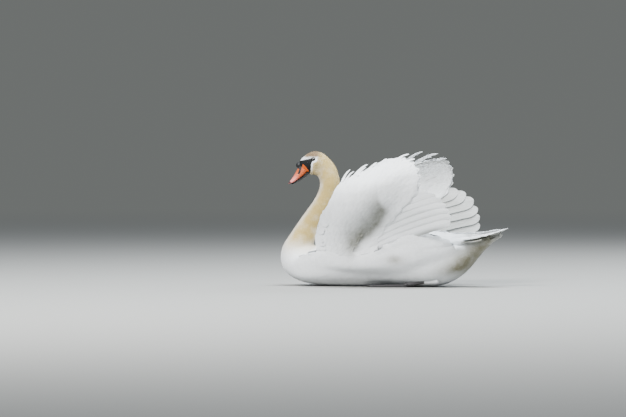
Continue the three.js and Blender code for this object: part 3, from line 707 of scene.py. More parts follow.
def unwrap(points, triangles):
    """An unwrap of a stretch of the skin: where each triangle's three corners lie on the map."""
    used, corners = np.unique(triangles, return_inverse=True)
    mesh = bpy.data.meshes.new("stretch")
    mesh.from_pydata(points[used].tolist(), [], corners.reshape(-1, 3).tolist())
    stretch = bpy.data.objects.new("stretch", mesh)
    bpy.context.collection.objects.link(stretch)
    edit(stretch, bpy.ops.uv.smart_project, angle_limit=math.radians(70), island_margin=0.004)
    places = np.empty(len(triangles) * 6)
    mesh.uv_layers.active.data.foreach_get("uv", places)
    bpy.data.objects.remove(stretch)
    bpy.data.meshes.remove(mesh)
    return places.reshape(-1, 3, 2)


def map_corners(points, triangles, face, shares):
    """The corner of each feather's own patch on the bake's map of the stretch where it grows."""
    return (unwrap(points, triangles)[face] * shares[:, :, None]).sum(1) - TUFT_PATCH / 2


def region_of(points):
    """The number in FLESH of the CAD node nearest to each point."""
    tree, owner = joined_tree([frame["nodes"][node] for node in FLESH])
    return owner[[tree.find_nearest(Vector(point))[2] for point in points]]


def lay_feathers(name, surface, roots, deep, corner, lie, long, wide, cut, shade=0.0):
    """One mesh of small feathers that overlap along the lie of the plumage. deep is how high over the
    surface each one lies, and cut gives the stations and widths of one feather."""
    count = len(roots)
    stations, shape = np.array(cut["stations"]), np.array(cut["widths"])
    long = long * CHANCE.uniform(0.85, 1.15, count)
    wide = wide * CHANCE.uniform(0.88, 1.12, count)
    wander = CHANCE.normal(0, 1, (count, 3)) * CHANCE.uniform(0, cut["wander"], (count, 1))
    spine, ups, aheads = surface.follow(roots, lambda q: unit(lie(q)) + wander, long, stations)
    rise = ramp(stations, 0, ROOTED) * (1 - cut["climb"]) + cut["climb"] * stations
    high = deep[:, None] * rise + CHANCE.normal(0, cut["uneven"], (count, 1)) * stations
    high = high + cut["tip_lift"] * stations**3 * CHANCE.random((count, 1)) ** 2
    half = wide[:, None, None] / 2 * shape[None, :, None] * np.ones((1, 1, 2))
    kept = surface.holds(spine[:, -1])
    spine, ups, aheads, high, half = (grid[kept] for grid in (spine, ups, aheads, high, half))
    across = np.linspace(-1, 1, cut["columns"] + 1)
    ground, out = blade_grid(spine, ups, aheads, half, across, 0)
    high = high[:, :, None] - cut["arch"] * across**2 * half.mean(2, keepdims=True)
    top = surface.drape(ground, ups, high)
    keel = top[:, :, len(across) // 2, None] - (KEEL * ups)[:, :, None]
    return build_vanes(name, top, keel, out, (corner[kept], TUFT_PATCH), np.full(out.shape, shade))


def lay_coat(name, skin_part, lie, spacing, length, width, cut, skip=None, share=1.0):
    """A piece of the coat that grows on a stretch of the skin. skip takes the roots and says which ones
    are left out, and share is the part of the coat's depth that it fills."""
    triangles = skin_triangles[skin_part]
    roots, face, shares = scatter(skin_points, triangles, spacing)
    if skip is not None:
        keep = ~skip(roots)
        roots, face, shares = roots[keep], face[keep], shares[keep]
    corner = map_corners(skin_points, triangles, face, shares)
    deep = share * (depth[triangles[face]] * shares).sum(1)
    long, wide = at_each(length, roots), at_each(width, roots)
    return lay_feathers(name, flesh, roots, deep, corner, lie, long, wide, cut)


# One feather of each kind: stations along it and its width there, the faces across it, how freely it wanders
# from the lie, the share of its height that it climbs on the way to its tip, how unevenly it lies, how far
# its tip may lift, and how much its edges bend down.
PLUSH = {
    "stations": [0, 0.4, 0.8, 1], "widths": [0.5, 1, 0.75, 0.12], "columns": 2,
    "wander": 0.10, "climb": 0.38, "uneven": 0.00005, "tip_lift": 0.0001, "arch": 0.08,
}
VELVET = {
    "stations": [0, 0.35, 0.75, 1], "widths": [0.45, 1, 0.8, 0.15], "columns": 2,
    "wander": 0.08, "climb": 0.24, "uneven": 0.00006, "tip_lift": 0.00015, "arch": 0.06,
}
CONTOUR = {
    "stations": [0, 0.15, 0.5, 0.82, 1], "widths": [0.45, 0.75, 1, 0.82, 0.25], "columns": 2,
    "wander": 0.04, "climb": 0.17, "uneven": 0.00008, "tip_lift": 0.0003, "arch": 0.045,
}
COVERT = {
    "stations": [0, 0.15, 0.3, 0.45, 0.6, 0.75, 0.88, 0.96, 1],
    "widths": [0.3, 0.6, 0.8, 0.93, 1, 0.98, 0.8, 0.52, 0.16], "columns": 4,
    "wander": 0.03, "climb": 0.50, "uneven": 0.00012, "tip_lift": 0.0005, "arch": 0.060,
}


# ---------------------------------------------------------------- the sail of the wing and its quills

# How far out the raised wing stands from the middle of the body: [height, distance out].
SAIL_PROFILE = np.array([
    [0.060, 0.126], [0.090, 0.128], [0.120, 0.130], [0.150, 0.132], [0.180, 0.137], [0.210, 0.148],
    [0.240, 0.166], [0.270, 0.185], [0.300, 0.200], [0.330, 0.209], [0.360, 0.214], [0.390, 0.214],
    [0.420, 0.210], [0.450, 0.204], [0.480, 0.196], [0.510, 0.186],
])
# Ahead of its middle it wraps in round the breast, its top edge slopes and curls in, and its foot flares out.
SAIL = {"middle": -0.020, "front_span": 0.236, "front_wrap": 0.22, "top": 0.419, "top_slope": 0.36,
        "curl": 0.026, "curl_depth": 0.080, "flare": 0.040}
# The flare grows over these places along the swan, and fades between these heights.
FLARE = {"from": 0.060, "to": 0.260, "full": 0.210, "none": 0.300}


def sail_out(y, z):
    """How far out the sail of the wing stands, at a place in the side view."""
    y = y - SHIFT
    out = np.interp(z, SAIL_PROFILE[:, 0], SAIL_PROFILE[:, 1])
    front = np.maximum(0, SAIL["middle"] - y) / SAIL["front_span"]
    below = SAIL["top"] + SAIL["top_slope"] * y - z
    curl = SAIL["curl"] * np.maximum(0, 1 - below / SAIL["curl_depth"]) ** 2
    low = np.clip((FLARE["none"] - z) / (FLARE["none"] - FLARE["full"]), 0, 1)
    rear = np.clip((y - FLARE["from"]) / (FLARE["to"] - FLARE["from"]), 0, 1)
    return out * (1 - SAIL["front_wrap"] * front**2) - curl + SAIL["flare"] * low * rear


def sail_normal(y, z, side):
    """The way out of the sail at a place in the side view."""
    step = 0.004
    by_y = (sail_out(y + step, z) - sail_out(y - step, z)) / (2 * step)
    by_z = (sail_out(y, z + step) - sail_out(y, z - step)) / (2 * step)
    return unit(np.stack([np.full(np.shape(by_y), side, float), -by_y, -by_z], -1))


# The tips of the fanned quills in the side view, as [y, z], from the front round to the rear.
TERTIAL_TIPS = {
    "left": np.array([
        [-0.120, 0.380], [-0.066, 0.404], [-0.002, 0.426], [0.050, 0.446], [0.094, 0.449], [0.130, 0.434],
        [0.150, 0.412], [0.158, 0.388], [0.156, 0.361], [0.147, 0.333],
    ]),
    "right": np.array([
        [-0.120, 0.378], [-0.066, 0.400], [-0.006, 0.418], [0.050, 0.426], [0.104, 0.432], [0.147, 0.434],
        [0.158, 0.413], [0.161, 0.389], [0.157, 0.361], [0.148, 0.333],
    ]),
}
SECONDARY_TIPS = {
    "left": np.array([
        [0.152, 0.336], [0.180, 0.331], [0.206, 0.321], [0.226, 0.307], [0.240, 0.290], [0.251, 0.271],
        [0.257, 0.251], [0.254, 0.230],
    ]),
    "right": np.array([
        [0.176, 0.331], [0.206, 0.320], [0.236, 0.298], [0.252, 0.269], [0.260, 0.241], [0.262, 0.211],
    ]),
}
# Each fan's first and last root [y, z], how its quills bow from the first to the last, how high they lie over
# the sail, the share of a quill's length at which its tip starts to round, and its greatest half width.
FANS = {
    "tertials": {
        "tips": TERTIAL_TIPS,
        "roots": {side: np.array([[-0.172, 0.262], [-0.070, 0.200]]) for side in SIDES},
        "bow": [0.03, 0.17, 0.08], "lift": -0.0002, "round": 0.72, "widest": 0.019,
    },
    "secondaries": {
        "tips": SECONDARY_TIPS,
        "roots": {side: np.array([[-0.104, 0.206], last])
                  for side, last in (("left", [-0.096, 0.106]), ("right", [-0.084, 0.102]))},
        "bow": [0.05, 0.05, 0.02], "lift": -0.0018, "round": 0.88, "widest": 0.034,
    },
}
QUILL_ACROSS = np.array([-1, -0.9, -0.7, -0.45, -0.2, -0.05, 0, 0.05, 0.2, 0.45, 0.7, 0.9, 1])
QUILL_SHAFT = 0.0006  # how high the shaft stands over the vane
QUILL_THICK = (0.0011, 0.0004)  # at the shaft and at the edges
QUILL_STATIONS = 30
# A quill's outline: its width at the root as a share of the whole, the shares of its length between which it
# widens, how square its tip is, how ragged its edges are, and its least width.
OUTLINE = {"root": 0.32, "widens": (0.02, 0.42), "square": 2.3, "ragged": 0.012, "least": 0.03}
LAP = 0.0032  # how far the covered edge of a quill lies under the open edge of the next
CAMBER = 0.0024  # how far the edges of a quill bend in from its shaft
COVERED = 0.80  # how deep the painted shade is on the covered edge of a quill, under the next
MAP_MARGIN = 0.02  # the share of its cell on the bake's map that a quill leaves free on each side


def cells(count, columns):
    """Corners and size of one patch each on the bake's map, in rows."""
    rows = math.ceil(count / columns)
    number = np.arange(count)
    size = np.array([1 / columns, 1 / rows])
    corner = np.stack([number % columns, number // columns], 1) * size + size * MAP_MARGIN
    return corner, size * (1 - 2 * MAP_MARGIN)


def quill_outline(stations, blunt, count):
    """Half widths along quills, to the right and to the left of the shaft, as shares of the whole half."""
    base = OUTLINE["root"] + (1 - OUTLINE["root"]) * ramp(stations, *OUTLINE["widens"])
    past = np.maximum(stations - blunt, 0) / (1 - blunt + 1e-4)
    tip = np.sqrt(np.clip(1 - past ** OUTLINE["square"], 0, 1))
    whole = (base * tip)[None, :, None] * np.ones((count, 1, 2))
    ragged = 1 + CHANCE.normal(0, OUTLINE["ragged"], (count, len(stations), 2))
    return np.maximum(whole * ragged, OUTLINE["least"])


class SideFace:
    """A face of the wing or the rump as a height over a base, seen from the side, to lay feathers on."""

    STEP = 0.004  # the grid of the heights
    SPAN = 0.005  # the step over which a slope is measured
    REACH = 0.24  # how far the rays go
    LOST = 0.02  # a hit farther under the base than this is left out
    SUNK, HIGHEST = 0.004, 0.2  # how far under and over the base the face may lie
    FINE, COARSE, LAST = 12, 110, 30  # how often the heights are blurred near by, far off and at the end

    def __init__(self, tree, side, outer, box, start, base, calm):
        self.side, self.outer, self.base = side, 1 if outer else -1, base
        self.low, high = np.array(box)
        counts = np.round((high - self.low) / self.STEP).astype(int) + 1
        steps = [low + self.STEP * np.arange(n) for low, n in zip(self.low, counts)]
        y, z = np.meshgrid(*steps, indexing="ij")
        under = base(y, z)
        heights, found = np.zeros(y.shape), np.zeros(y.shape)
        for index in np.ndindex(y.shape):
            origin = Vector((side * start, y[index], z[index]))
            hit = tree.ray_cast(origin, Vector((-side * self.outer, 0, 0)), self.REACH)[0]
            if hit is not None and side * hit.x > 0:
                rise = (abs(hit.x) - under[index]) * self.outer
                if -self.LOST < rise < self.HIGHEST:
                    heights[index], found[index] = np.clip(rise, -self.SUNK, self.HIGHEST), 1
        near, far = (
            self.blurred(heights, rounds) / (self.blurred(found, rounds) + 1e-3)
            for rounds in (self.FINE, self.COARSE)
        )
        heights = np.where(found > 0, heights, near)
        smooth = near + (far - near) * calm(y, z)
        self.heights = self.blurred(np.maximum(smooth, heights - self.SUNK), self.LAST)

    def blurred(self, heights, rounds):
        for _ in range(rounds):
            padded = np.pad(heights, 1, mode="edge")
            beside = padded[2:, 1:-1] + padded[:-2, 1:-1] + padded[1:-1, 2:] + padded[1:-1, :-2]
            heights = heights / 2 + beside / 8
        return heights

    def height(self, y, z):
        place = (np.stack([y, z], -1) - self.low) / self.STEP
        place = np.clip(place, 0, np.array(self.heights.shape) - 1.001)
        i, j = place.astype(int)[..., 0], place.astype(int)[..., 1]
        u, v = place[..., 0] - i, place[..., 1] - j
        h = self.heights
        low = h[i, j] * (1 - u) + h[i + 1, j] * u
        high = h[i, j + 1] * (1 - u) + h[i + 1, j + 1] * u
        return low * (1 - v) + high * v

    def out(self, y, z):
        return self.base(y, z) + self.outer * self.height(y, z)

    def normal(self, y, z):
        by_y = (self.out(y + self.SPAN, z) - self.out(y - self.SPAN, z)) / (2 * self.SPAN)
        by_z = (self.out(y, z + self.SPAN) - self.out(y, z - self.SPAN)) / (2 * self.SPAN)
        return unit(self.outer * np.stack([np.full(np.shape(by_y), self.side, float), -by_y, -by_z], -1))

    def follow(self, roots, lie, lengths, stations):
        """Places, normals and directions along feathers laid on this face from their roots on."""
        flat, spine, ups = roots[:, 1:].copy(), [], []
        heading = unit(lie(roots)[:, 1:])
        up = self.normal(flat[:, 0], flat[:, 1])
        for step in np.diff(stations, prepend=0):
            flat = flat + heading * (step * lengths)[:, None]
            place = np.stack([self.side * self.out(flat[:, 0], flat[:, 1]), flat[:, 0], flat[:, 1]], 1)
            up = unit(self.normal(flat[:, 0], flat[:, 1]) + up * 1.2)
            heading = unit(0.5 * heading + unit(lie(place)[:, 1:]))
            spine.append(place)
            ups.append(up)
        spine, ups = np.stack(spine, 1), np.stack(ups, 1)
        aheads = along_surface(np.gradient(spine, axis=1), ups)
        return spine, ups, aheads

    def holds(self, tips):
        return np.full(len(tips), True)

    def drape(self, ground, ups, high):
        y, z = ground[..., 1], ground[..., 2]
        return np.stack([self.side * self.out(y, z), y, z], -1) + ups[:, :, None] * high[..., None]


def quills(name, path, half, blunt, place, side=1):
    """Long feathers with a shaft. path holds (quills, stations, 2) in the side view. place turns side-view
    places, how far across the vane they lie, from -1 to 1, and the shaft's height into points and normals."""
    count = len(path)
    along = np.gradient(path, axis=1)
    along = along / np.linalg.norm(along, axis=2, keepdims=True)
    aside = np.stack([-along[..., 1], along[..., 0]], 2)
    stations = quill_stations()
    edges = quill_outline(stations, blunt, count) * half[:, None, :]
    out = out_from_shaft(edges, QUILL_ACROSS)
    flat = path[:, :, None] + aside[:, :, None] * out[..., None]
    shaft = QUILL_SHAFT * np.exp(-((QUILL_ACROSS / 0.06) ** 2)) * (1 - 0.7 * stations[:, None])
    span = half.mean(1)[:, None, None]
    top, up = place(flat, out / span, shaft)
    thick = QUILL_THICK[1] + (QUILL_THICK[0] - QUILL_THICK[1]) * (1 - np.abs(QUILL_ACROSS)) ** 2
    under = top - up * thick[None, None, :, None]
    # painted shade on the covered edge of each quill, fading out towards the tip
    fold = COVERED * ramp(-out / span, 0.10, 0.95) * ramp(-stations, -1.0, -0.75)[:, None]
    turn = slice(None, None, -1) if side < 0 else slice(None)
    top, under, out, fold = (grid[:, :, turn] for grid in (top, under, out, fold))
    return build_vanes(name, top, under, out, cells(count, 4), fold)


def quill_stations():
    """The stations along a quill, closer towards its tip."""
    return 1 - (1 - np.linspace(0, 1, QUILL_STATIONS + 1)) ** 1.5


def fan_paths(tips, roots, bow):
    """The shafts of a fan of quills in the side view, and the room from each tip to the next."""
    count = len(tips)
    share = (np.arange(count) + 0.5) / count
    base = roots[0] + (roots[1] - roots[0]) * share[:, None]
    t = quill_stations()[None, :, None]
    reach = tips - base
    arch = np.interp(share * 2, [0, 1, 2], bow)[:, None, None]
    rise = 4 * arch * t * (1 - t)
    turned = np.stack([-reach[:, 1], reach[:, 0]], 1)
    path = base[:, None] + reach[:, None] * t + turned[:, None] * rise
    room = np.linalg.norm(np.gradient(tips, axis=0), axis=1)
    return path + [SHIFT, 0], room


def make_fan(side_name, fan_name):
    """One fan of quills on the sail of a wing, each lapping over the next."""
    fan = FANS[fan_name]
    side = SIDES[side_name]
    tips = fan["tips"][side_name]
    path, room = fan_paths(tips, fan["roots"][side_name], fan["bow"])
    widest = fan["widest"]
    half = np.stack([np.clip(room * 0.86, 0.015, widest), np.clip(room * 0.60, 0.013, widest * 0.8)], 1)

    def place(flat, across, shaft):
        y, z = flat[..., 0], flat[..., 1]
        up = sail_normal(y, z, side)
        lap = LAP * (0.5 + 0.62 * across)
        off = fan["lift"] - LAP + lap + shaft - CAMBER * across**2
        base = np.stack([side * sail_out(y, z), y, z], -1)
        return base + up * off[..., None], up

    return quills(f"wing_{side_name}_{fan_name}_quills", path, half, fan["round"], place, side)


# The outline of a wing's small feathers in the side view, from the fan at the rear up and round to the
# front, as [y, z].
FAN_EDGE = [
    [-0.030, 0.084], [-0.026, 0.110], [-0.024, 0.140], [-0.016, 0.172], [0.010, 0.208], [0.046, 0.246],
    [0.092, 0.290], [0.136, 0.328],
]
FRONT_EDGE = [
    [-0.143, 0.358], [-0.156, 0.334], [-0.184, 0.287], [-0.226, 0.236], [-0.241, 0.203], [-0.256, 0.158],
]
COVERT_EDGE = {
    "left": np.array(FAN_EDGE + [
        [0.146, 0.360], [0.147, 0.388], [0.139, 0.412], [0.121, 0.431], [0.092, 0.446], [0.058, 0.444],
        [0.006, 0.427], [-0.028, 0.411], [-0.073, 0.396], [-0.116, 0.377],
    ] + FRONT_EDGE),
    "right": np.array(FAN_EDGE + [
        [0.147, 0.360], [0.150, 0.390], [0.148, 0.414], [0.135, 0.430], [0.100, 0.430], [0.060, 0.425],
        [0.010, 0.420], [-0.028, 0.409], [-0.073, 0.394], [-0.116, 0.376],
    ] + FRONT_EDGE),
}
WING_FRONT = ([0.084, 0.122, 0.158, 0.203, 0.236], [-0.238, -0.252, -0.256, -0.241, -0.226])
WING_FOOT = 0.088  # the lowest roots of the wing's feathers
WING_BOX = [[-0.262 + SHIFT, WING_FOOT], [0.160 + SHIFT, 0.460]]  # where the wing's feathers may grow


def room_ahead(points, outline):
    """How far points lie from the hinge of the wing, and how far it is on to the outline."""
    flat = points[:, 1:] - [SHIFT, 0] - WING_HINGE
    edge = outline - WING_HINGE
    angle, reach = np.arctan2(edge[:, 1], edge[:, 0]), np.linalg.norm(edge, axis=1)
    away = np.linalg.norm(flat, axis=1)
    return away, np.interp(np.arctan2(flat[:, 1], flat[:, 0]), angle, reach) - away


def wing_face(tree, side, outer):
    box = [[-0.290, 0.050], [0.300, 0.500]]
    return SideFace(tree, side, outer, box, 0.30 if outer else 0.09, sail_out,
                    lambda y, z: ramp(z, 0.27, 0.32) * ramp(y, -0.05, 0.02))


def lay_coverts(name, face, spacing):
    """The small and middling feathers of one face of a raised wing."""
    side = face.side
    low, high = np.array(WING_BOX)
    corners = np.array([[0, y, z] for y, z in (low, (high[0], low[1]), high, (low[0], high[1]))])
    roots = scatter(corners, np.array([[0, 1, 2], [0, 2, 3]]), spacing)[0]
    away, room = room_ahead(roots, COVERT_EDGE["left" if side > 0 else "right"])
    keep = (room > 0.009) & (roots[:, 1] - SHIFT > np.interp(roots[:, 2], *WING_FRONT) + 0.003)
    roots, away, room = roots[keep], away[keep], room[keep]
    roots[:, 0] = side * face.out(roots[:, 1], roots[:, 2])
    long = np.minimum(0.024 + 0.165 * away, (room + 0.003) * 0.88)
    wide = (0.011 + 0.024 * away) * np.clip(long / 0.035, 0.55, 1)
    deep = 0.0002 + 0.0040 * ramp(room, 0.015, 0.10)
    corner = (roots[:, 1:] - low) / (high - low) - TUFT_PATCH / 2
    # painted shade on the inner face of the wing
    shade = 0.0 if face.outer > 0 else INNER_SHADE
    return lay_feathers(name, face, roots, deep, corner, wing_lie, long, wide, COVERT, shade)


def rim_lie(points):
    """Along the front and top edge of a wing, up and back."""
    normal = flesh.nearest(points)[1]
    return np.stack([np.zeros(len(points)), normal[:, 2], -normal[:, 1]], 1)


# The tail: a shallow roof of stiff feathers, longest in the middle. Places are [y, z] of its ridge.
TAIL = {"count": 12, "root": (0.212, 0.181), "tip": (0.414, 0.206), "sag": 0.006, "half": 0.062,
        "sweep": 0.096, "droop": 0.016, "stack": 0.0024, "quill_half": 0.0088, "round": 0.90}
TAIL_ROOM = 0.404  # no small feather reaches farther back than about here


def tail_spread(share, reach):
    """Half the width of the tail at a share of its length and of a feather's own length."""
    return TAIL["half"] * (0.62 + 0.38 * reach) * (1 + 0.15 * np.sin(np.pi * np.clip(share, 0, 1)))


def tail_height(x, y):
    """The height of the tail's upper face."""
    (start, low), (end, high) = TAIL["root"], TAIL["tip"]
    share = (y - SHIFT - start) / (end - start)
    out = np.clip(np.abs(x) / tail_spread(share, share), 0, 1.1)
    reach = share * (end - start) / (end - start - TAIL["sweep"] * out**1.5)
    out = np.clip(np.abs(x) / tail_spread(share, reach), 0, 1.15)
    sag = TAIL["sag"] * np.sin(np.pi * np.clip(share, 0, 1))
    return low + (high - low) * share - sag - TAIL["droop"] * out**1.4


def under_tail(roots):
    """True for roots that the tail hides."""
    y = roots[:, 1] - SHIFT
    return (y > 0.225) & (y < 0.375) & (roots[:, 2] > tail_height(roots[:, 0], roots[:, 1]) - 0.005)


def short_at_tip(roots):
    """The length of the rear's feathers, shorter towards the tip of the tail so that none passes it."""
    return np.clip(0.004 + 0.9 * (TAIL_ROOM + SHIFT - roots[:, 1]), 0.006, 0.036)


def narrow_at_tip(roots):
    return short_at_tip(roots) * 0.43


def make_tail():
    """The tail's quills, laid from the outermost in, so that the middle ones lie on top."""
    across = (np.arange(TAIL["count"]) + 0.5) / TAIL["count"] * 2 - 1
    across = across[np.argsort(-np.abs(across))]
    start, end = TAIL["root"][0], TAIL["tip"][0]
    reach = quill_stations()[None]
    length = (end - start - TAIL["sweep"] * np.abs(across) ** 1.5)[:, None]
    y = start + length * reach
    x = across[:, None] * tail_spread((y - start) / (end - start), reach)
    half = np.full((len(across), 2), TAIL["quill_half"])
    stack = TAIL["stack"] * (1 - np.abs(across))[:, None, None]

    def place(flat, across, shaft):
        x, y = flat[..., 0], flat[..., 1]
        step = 0.003
        by_x = (tail_height(x + step, y) - tail_height(x - step, y)) / (2 * step)
        by_y = (tail_height(x, y + step) - tail_height(x, y - step)) / (2 * step)
        up = unit(np.stack([-by_x, -by_y, np.ones(x.shape)], -1))
        return np.stack([x, y, tail_height(x, y)], -1) + up * (stack + shaft - 0.0014)[..., None], up

    return quills("tail_quills", np.stack([x, y + SHIFT], 2), half, TAIL["round"], place)


def lay_tail_coverts(spacing):
    """The feathers of the rump that lie over the roots of the tail's own."""
    node = frame["nodes"]["tail"]
    points, triangles = points_of(node), triangles_of(node)
    normals, middle = vertex_normals(points, triangles)[triangles].mean(1), points[triangles].mean(1)
    part = triangles[(normals[:, 2] > 0.1) & (middle[:, 1] - SHIFT < 0.30)]
    roots, face, shares = scatter(points, part, spacing)
    keep = roots[:, 1] - SHIFT < 0.285 + 0.02 * CHANCE.random(len(roots))
    roots, face, shares = roots[keep], face[keep], shares[keep]
    corner = map_corners(points, part, face, shares)
    deep = 0.0008 + 0.0034 * ramp(-(roots[:, 1] - SHIFT), -0.290, -0.225)
    long, wide = at_each(0.040, roots), at_each(0.0145, roots)
    rump = Surface(points, triangles)
    return lay_feathers("coat_tail_coverts", rump, roots, deep, corner, body_lie, long, wide, CONTOUR)


# The folded wing tips along the rump: [y, lower edge z, upper edge z].
PRIMARIES = np.array([
    [0.110, 0.150, 0.186], [0.150, 0.148, 0.189], [0.200, 0.148, 0.185], [0.235, 0.150, 0.1845],
    [0.270, 0.157, 0.186], [0.308, 0.167, 0.189], [0.338, 0.176, 0.191], [0.367, 0.184, 0.196],
    [0.388, 0.191, 0.200], [0.400, 0.195, 0.202],
])
# How far back each quill of it reaches, the top one first.
PRIMARY_TIPS = np.array([0.300, 0.328, 0.350, 0.370, 0.386])
PRIMARY = {"start": 0.145, "half": [0.0070, 0.0060], "stack": 0.0006, "round": 0.86,
           "under": 0.0008, "lap": 0.0012}


def fold_edges(y):
    """The lower and the upper edge of the folded wing tip."""
    return [np.interp(y - SHIFT, PRIMARIES[:, 0], edge) for edge in (PRIMARIES[:, 1], PRIMARIES[:, 2])]


def fold_lie(points):
    """Along the folded wing tip."""
    ahead = 0.004
    (low, high), (low_on, high_on) = fold_edges(points[:, 1]), fold_edges(points[:, 1] + ahead)
    share = np.clip((points[:, 2] - low) / (high - low), 0, 1)
    rise = (low_on - low) * (1 - share) + (high_on - high) * share
    return np.stack([np.zeros(len(points)), np.full(len(points), ahead), rise], 1)


def rump_face(tree, side):
    """The side of the rump, calmer where the wing tip leaves the flank."""
    box = [[0.040 + SHIFT, 0.100], [0.410 + SHIFT, 0.225]]
    return SideFace(tree, side, True, box, 0.16, lambda y, z: np.zeros(np.shape(y)),
                    lambda y, z: 0.25 * ramp(-y, -0.20, -0.12))


def make_folded_quills(side_name, face):
    """The quills of a folded wing tip."""
    side, count = SIDES[side_name], len(PRIMARY_TIPS)
    share = 0.90 - 0.80 * (np.arange(count) + 0.5) / count
    start = PRIMARY["start"]
    y = start + (PRIMARY_TIPS[:, None] - start) * quill_stations()[None] + SHIFT
    low, high = fold_edges(y)
    path = np.stack([y, low + (high - low) * share[:, None]], 2)
    stack = (PRIMARY["stack"] * np.arange(count)[::-1])[:, None, None]

    def place(flat, across, shaft):
        y, z = flat[..., 0], flat[..., 1]
        up = face.normal(y, z)
        base = np.stack([side * face.out(y, z), y, z], -1)
        return base + up * (stack + shaft - PRIMARY["under"] + PRIMARY["lap"] * across)[..., None], up

    half = np.full((count, 2), PRIMARY["half"])
    return quills(f"wing_{side_name}_primary_quills", path, half, PRIMARY["round"], place, side)


def lay_folded_coverts(side_name, spacing):
    """The feathers that lie over the roots of a folded wing tip."""
    node = frame["nodes"][f"wing_{side_name}_primaries"]
    points, triangles = points_of(node), triangles_of(node)
    roots, face, shares = scatter(points, triangles, spacing)
    back, normals = roots[:, 1] - SHIFT, vertex_normals(points, triangles)[triangles[face]].mean(1)
    outer = normals[:, 0] * SIDES[side_name] > 0.3
    keep = np.where(outer, back < 0.262 + 0.03 * CHANCE.random(len(roots)), back < 0.385)
    keep &= normals[:, 2] > -0.35
    roots, face, shares, back = roots[keep], face[keep], shares[keep], back[keep]
    corner = map_corners(points, triangles, face, shares)
    long = np.clip(0.9 * (TAIL_ROOM - back), 0.008, 0.042)
    return lay_feathers(f"coat_wing_{side_name}_folded", Surface(points, triangles), roots,
                        at_each(0.0016, roots), corner, fold_lie, long, long * 0.34, COVERT)


# ---------------------------------------------------------------- curled feathers along the top of the wings

# [root y, root z, tip y, tip z, bow, half width] in the side view.
WISPS = {
    "left": np.array([
        [-0.136, 0.358, -0.110, 0.408, 0.08, 0.0056], [-0.124, 0.364, -0.092, 0.402, 0.08, 0.0044],
        [-0.094, 0.380, -0.042, 0.423, 0.09, 0.0062], [-0.080, 0.380, -0.048, 0.415, 0.10, 0.0044],
        [-0.040, 0.402, -0.008, 0.431, 0.07, 0.0052], [-0.006, 0.416, 0.026, 0.444, 0.07, 0.0052],
        [0.048, 0.424, 0.106, 0.461, 0.10, 0.0060], [0.064, 0.430, 0.092, 0.456, 0.10, 0.0044],
        [0.092, 0.428, 0.132, 0.444, 0.10, 0.0050],
    ]),
    "right": np.array([
        [-0.030, 0.408, 0.060, 0.467, 0.08, 0.0058], [0.010, 0.418, 0.085, 0.448, 0.09, 0.0050],
        [0.018, 0.418, 0.110, 0.460, 0.08, 0.0060], [0.062, 0.418, 0.136, 0.443, 0.09, 0.0056],
        [-0.075, 0.392, -0.030, 0.428, 0.09, 0.0056], [-0.130, 0.360, -0.100, 0.402, 0.08, 0.0054],
    ]),
}
WISP = {"stations": 14, "lift": 0.0046, "curl": 0.004, "off": 0.004, "arch": 0.12, "thick": 0.0007}


def make_wisps(side_name, face):
    """Loose feathers that curl up and back over the top edge of a wing."""
    rows, side = WISPS[side_name], SIDES[side_name]
    t = np.linspace(0, 1, WISP["stations"] + 1)[None, :, None]
    root, tip = rows[:, None, 0:2], rows[:, None, 2:4]
    reach = tip - root
    turned = np.stack([-reach[..., 1], reach[..., 0]], -1)
    bend = rows[:, 4, None, None] * 4 * t * (1 - t) * (0.75 + 0.5 * t)
    flat = root + reach * t + turned * bend + [SHIFT, 0]
    y, z = flat[..., 0], flat[..., 1]
    up = sail_normal(y, z, side)
    curl = CHANCE.uniform(-0.3, 0.7, (len(rows), 1, 1))
    rise = WISP["lift"] * ramp(t, 0, 0.15) + WISP["curl"] * t**2 * curl
    free = ramp(t[..., 0], 0.35, 0.75)
    out_here = face.out(y, z) * (1 - free) + (sail_out(y, z) + WISP["off"]) * free
    centre = np.stack([side * out_here, y, z], -1) + up * rise
    ahead = along_surface(np.gradient(centre, axis=1), up)
    shape = (0.45 + 0.55 * ramp(t, 0, 0.35)) * np.sqrt(np.clip(1 - t**2.2, 0, 1)) + 0.04
    half = rows[:, 5, None, None] * shape * np.ones((1, 1, 2))
    top, out = blade_grid(centre, up, ahead, half, np.linspace(-1, 1, 7), WISP["arch"])
    under = top - up[:, :, None] * WISP["thick"]
    return build_vanes(f"wing_{side_name}_wisps", top, under, out, cells(len(rows), 3))


# ---------------------------------------------------------------- bill, knob and eyes

# The cutting edge of the upper bill, as [y, z] in a head that looks straight ahead.
UPPER_EDGE = np.array([
    [-0.378, 0.3577], [-0.3715, 0.3587], [-0.364, 0.3615], [-0.356, 0.366], [-0.348, 0.3715],
    [-0.339, 0.378], [-0.329, 0.386], [-0.318, 0.396], [-0.309, 0.406],
])
# Places on the bill and its black band, as [y, z] in a head that looks straight ahead.
BILL_ROOT, BILL_TIP = np.array([-0.322, 0.414]), np.array([-0.381, 0.3590])
NOSTRIL = {"y": -0.3435, "z": 0.3960, "long": 0.0062, "high": 0.0021, "deep": 0.0016}
NAIL_FROM = 0.86  # share of the bill's length at which the nail starts
BILL_VOXEL = 0.00085
KNOB = {"y": -0.3435, "z": 0.4232, "radii": (0.0112, 0.0118, 0.0112)}
BLACK_BAND = np.array([[-0.3345, 0.4270], [-0.3372, 0.4140], [-0.3400, 0.4040], [-0.3430, 0.3955]])


def remade(name, node, voxel, rounds):
    """A CAD node with finer, rounded faces."""
    piece = merged_copy(name, [node], voxel * 0.35)
    modify(piece, "REMESH", mode="VOXEL", voxel_size=voxel)
    points = points_of(piece)
    set_points(piece, relax(points, edges_of(piece), np.full(len(points), 0.5), rounds))
    return piece


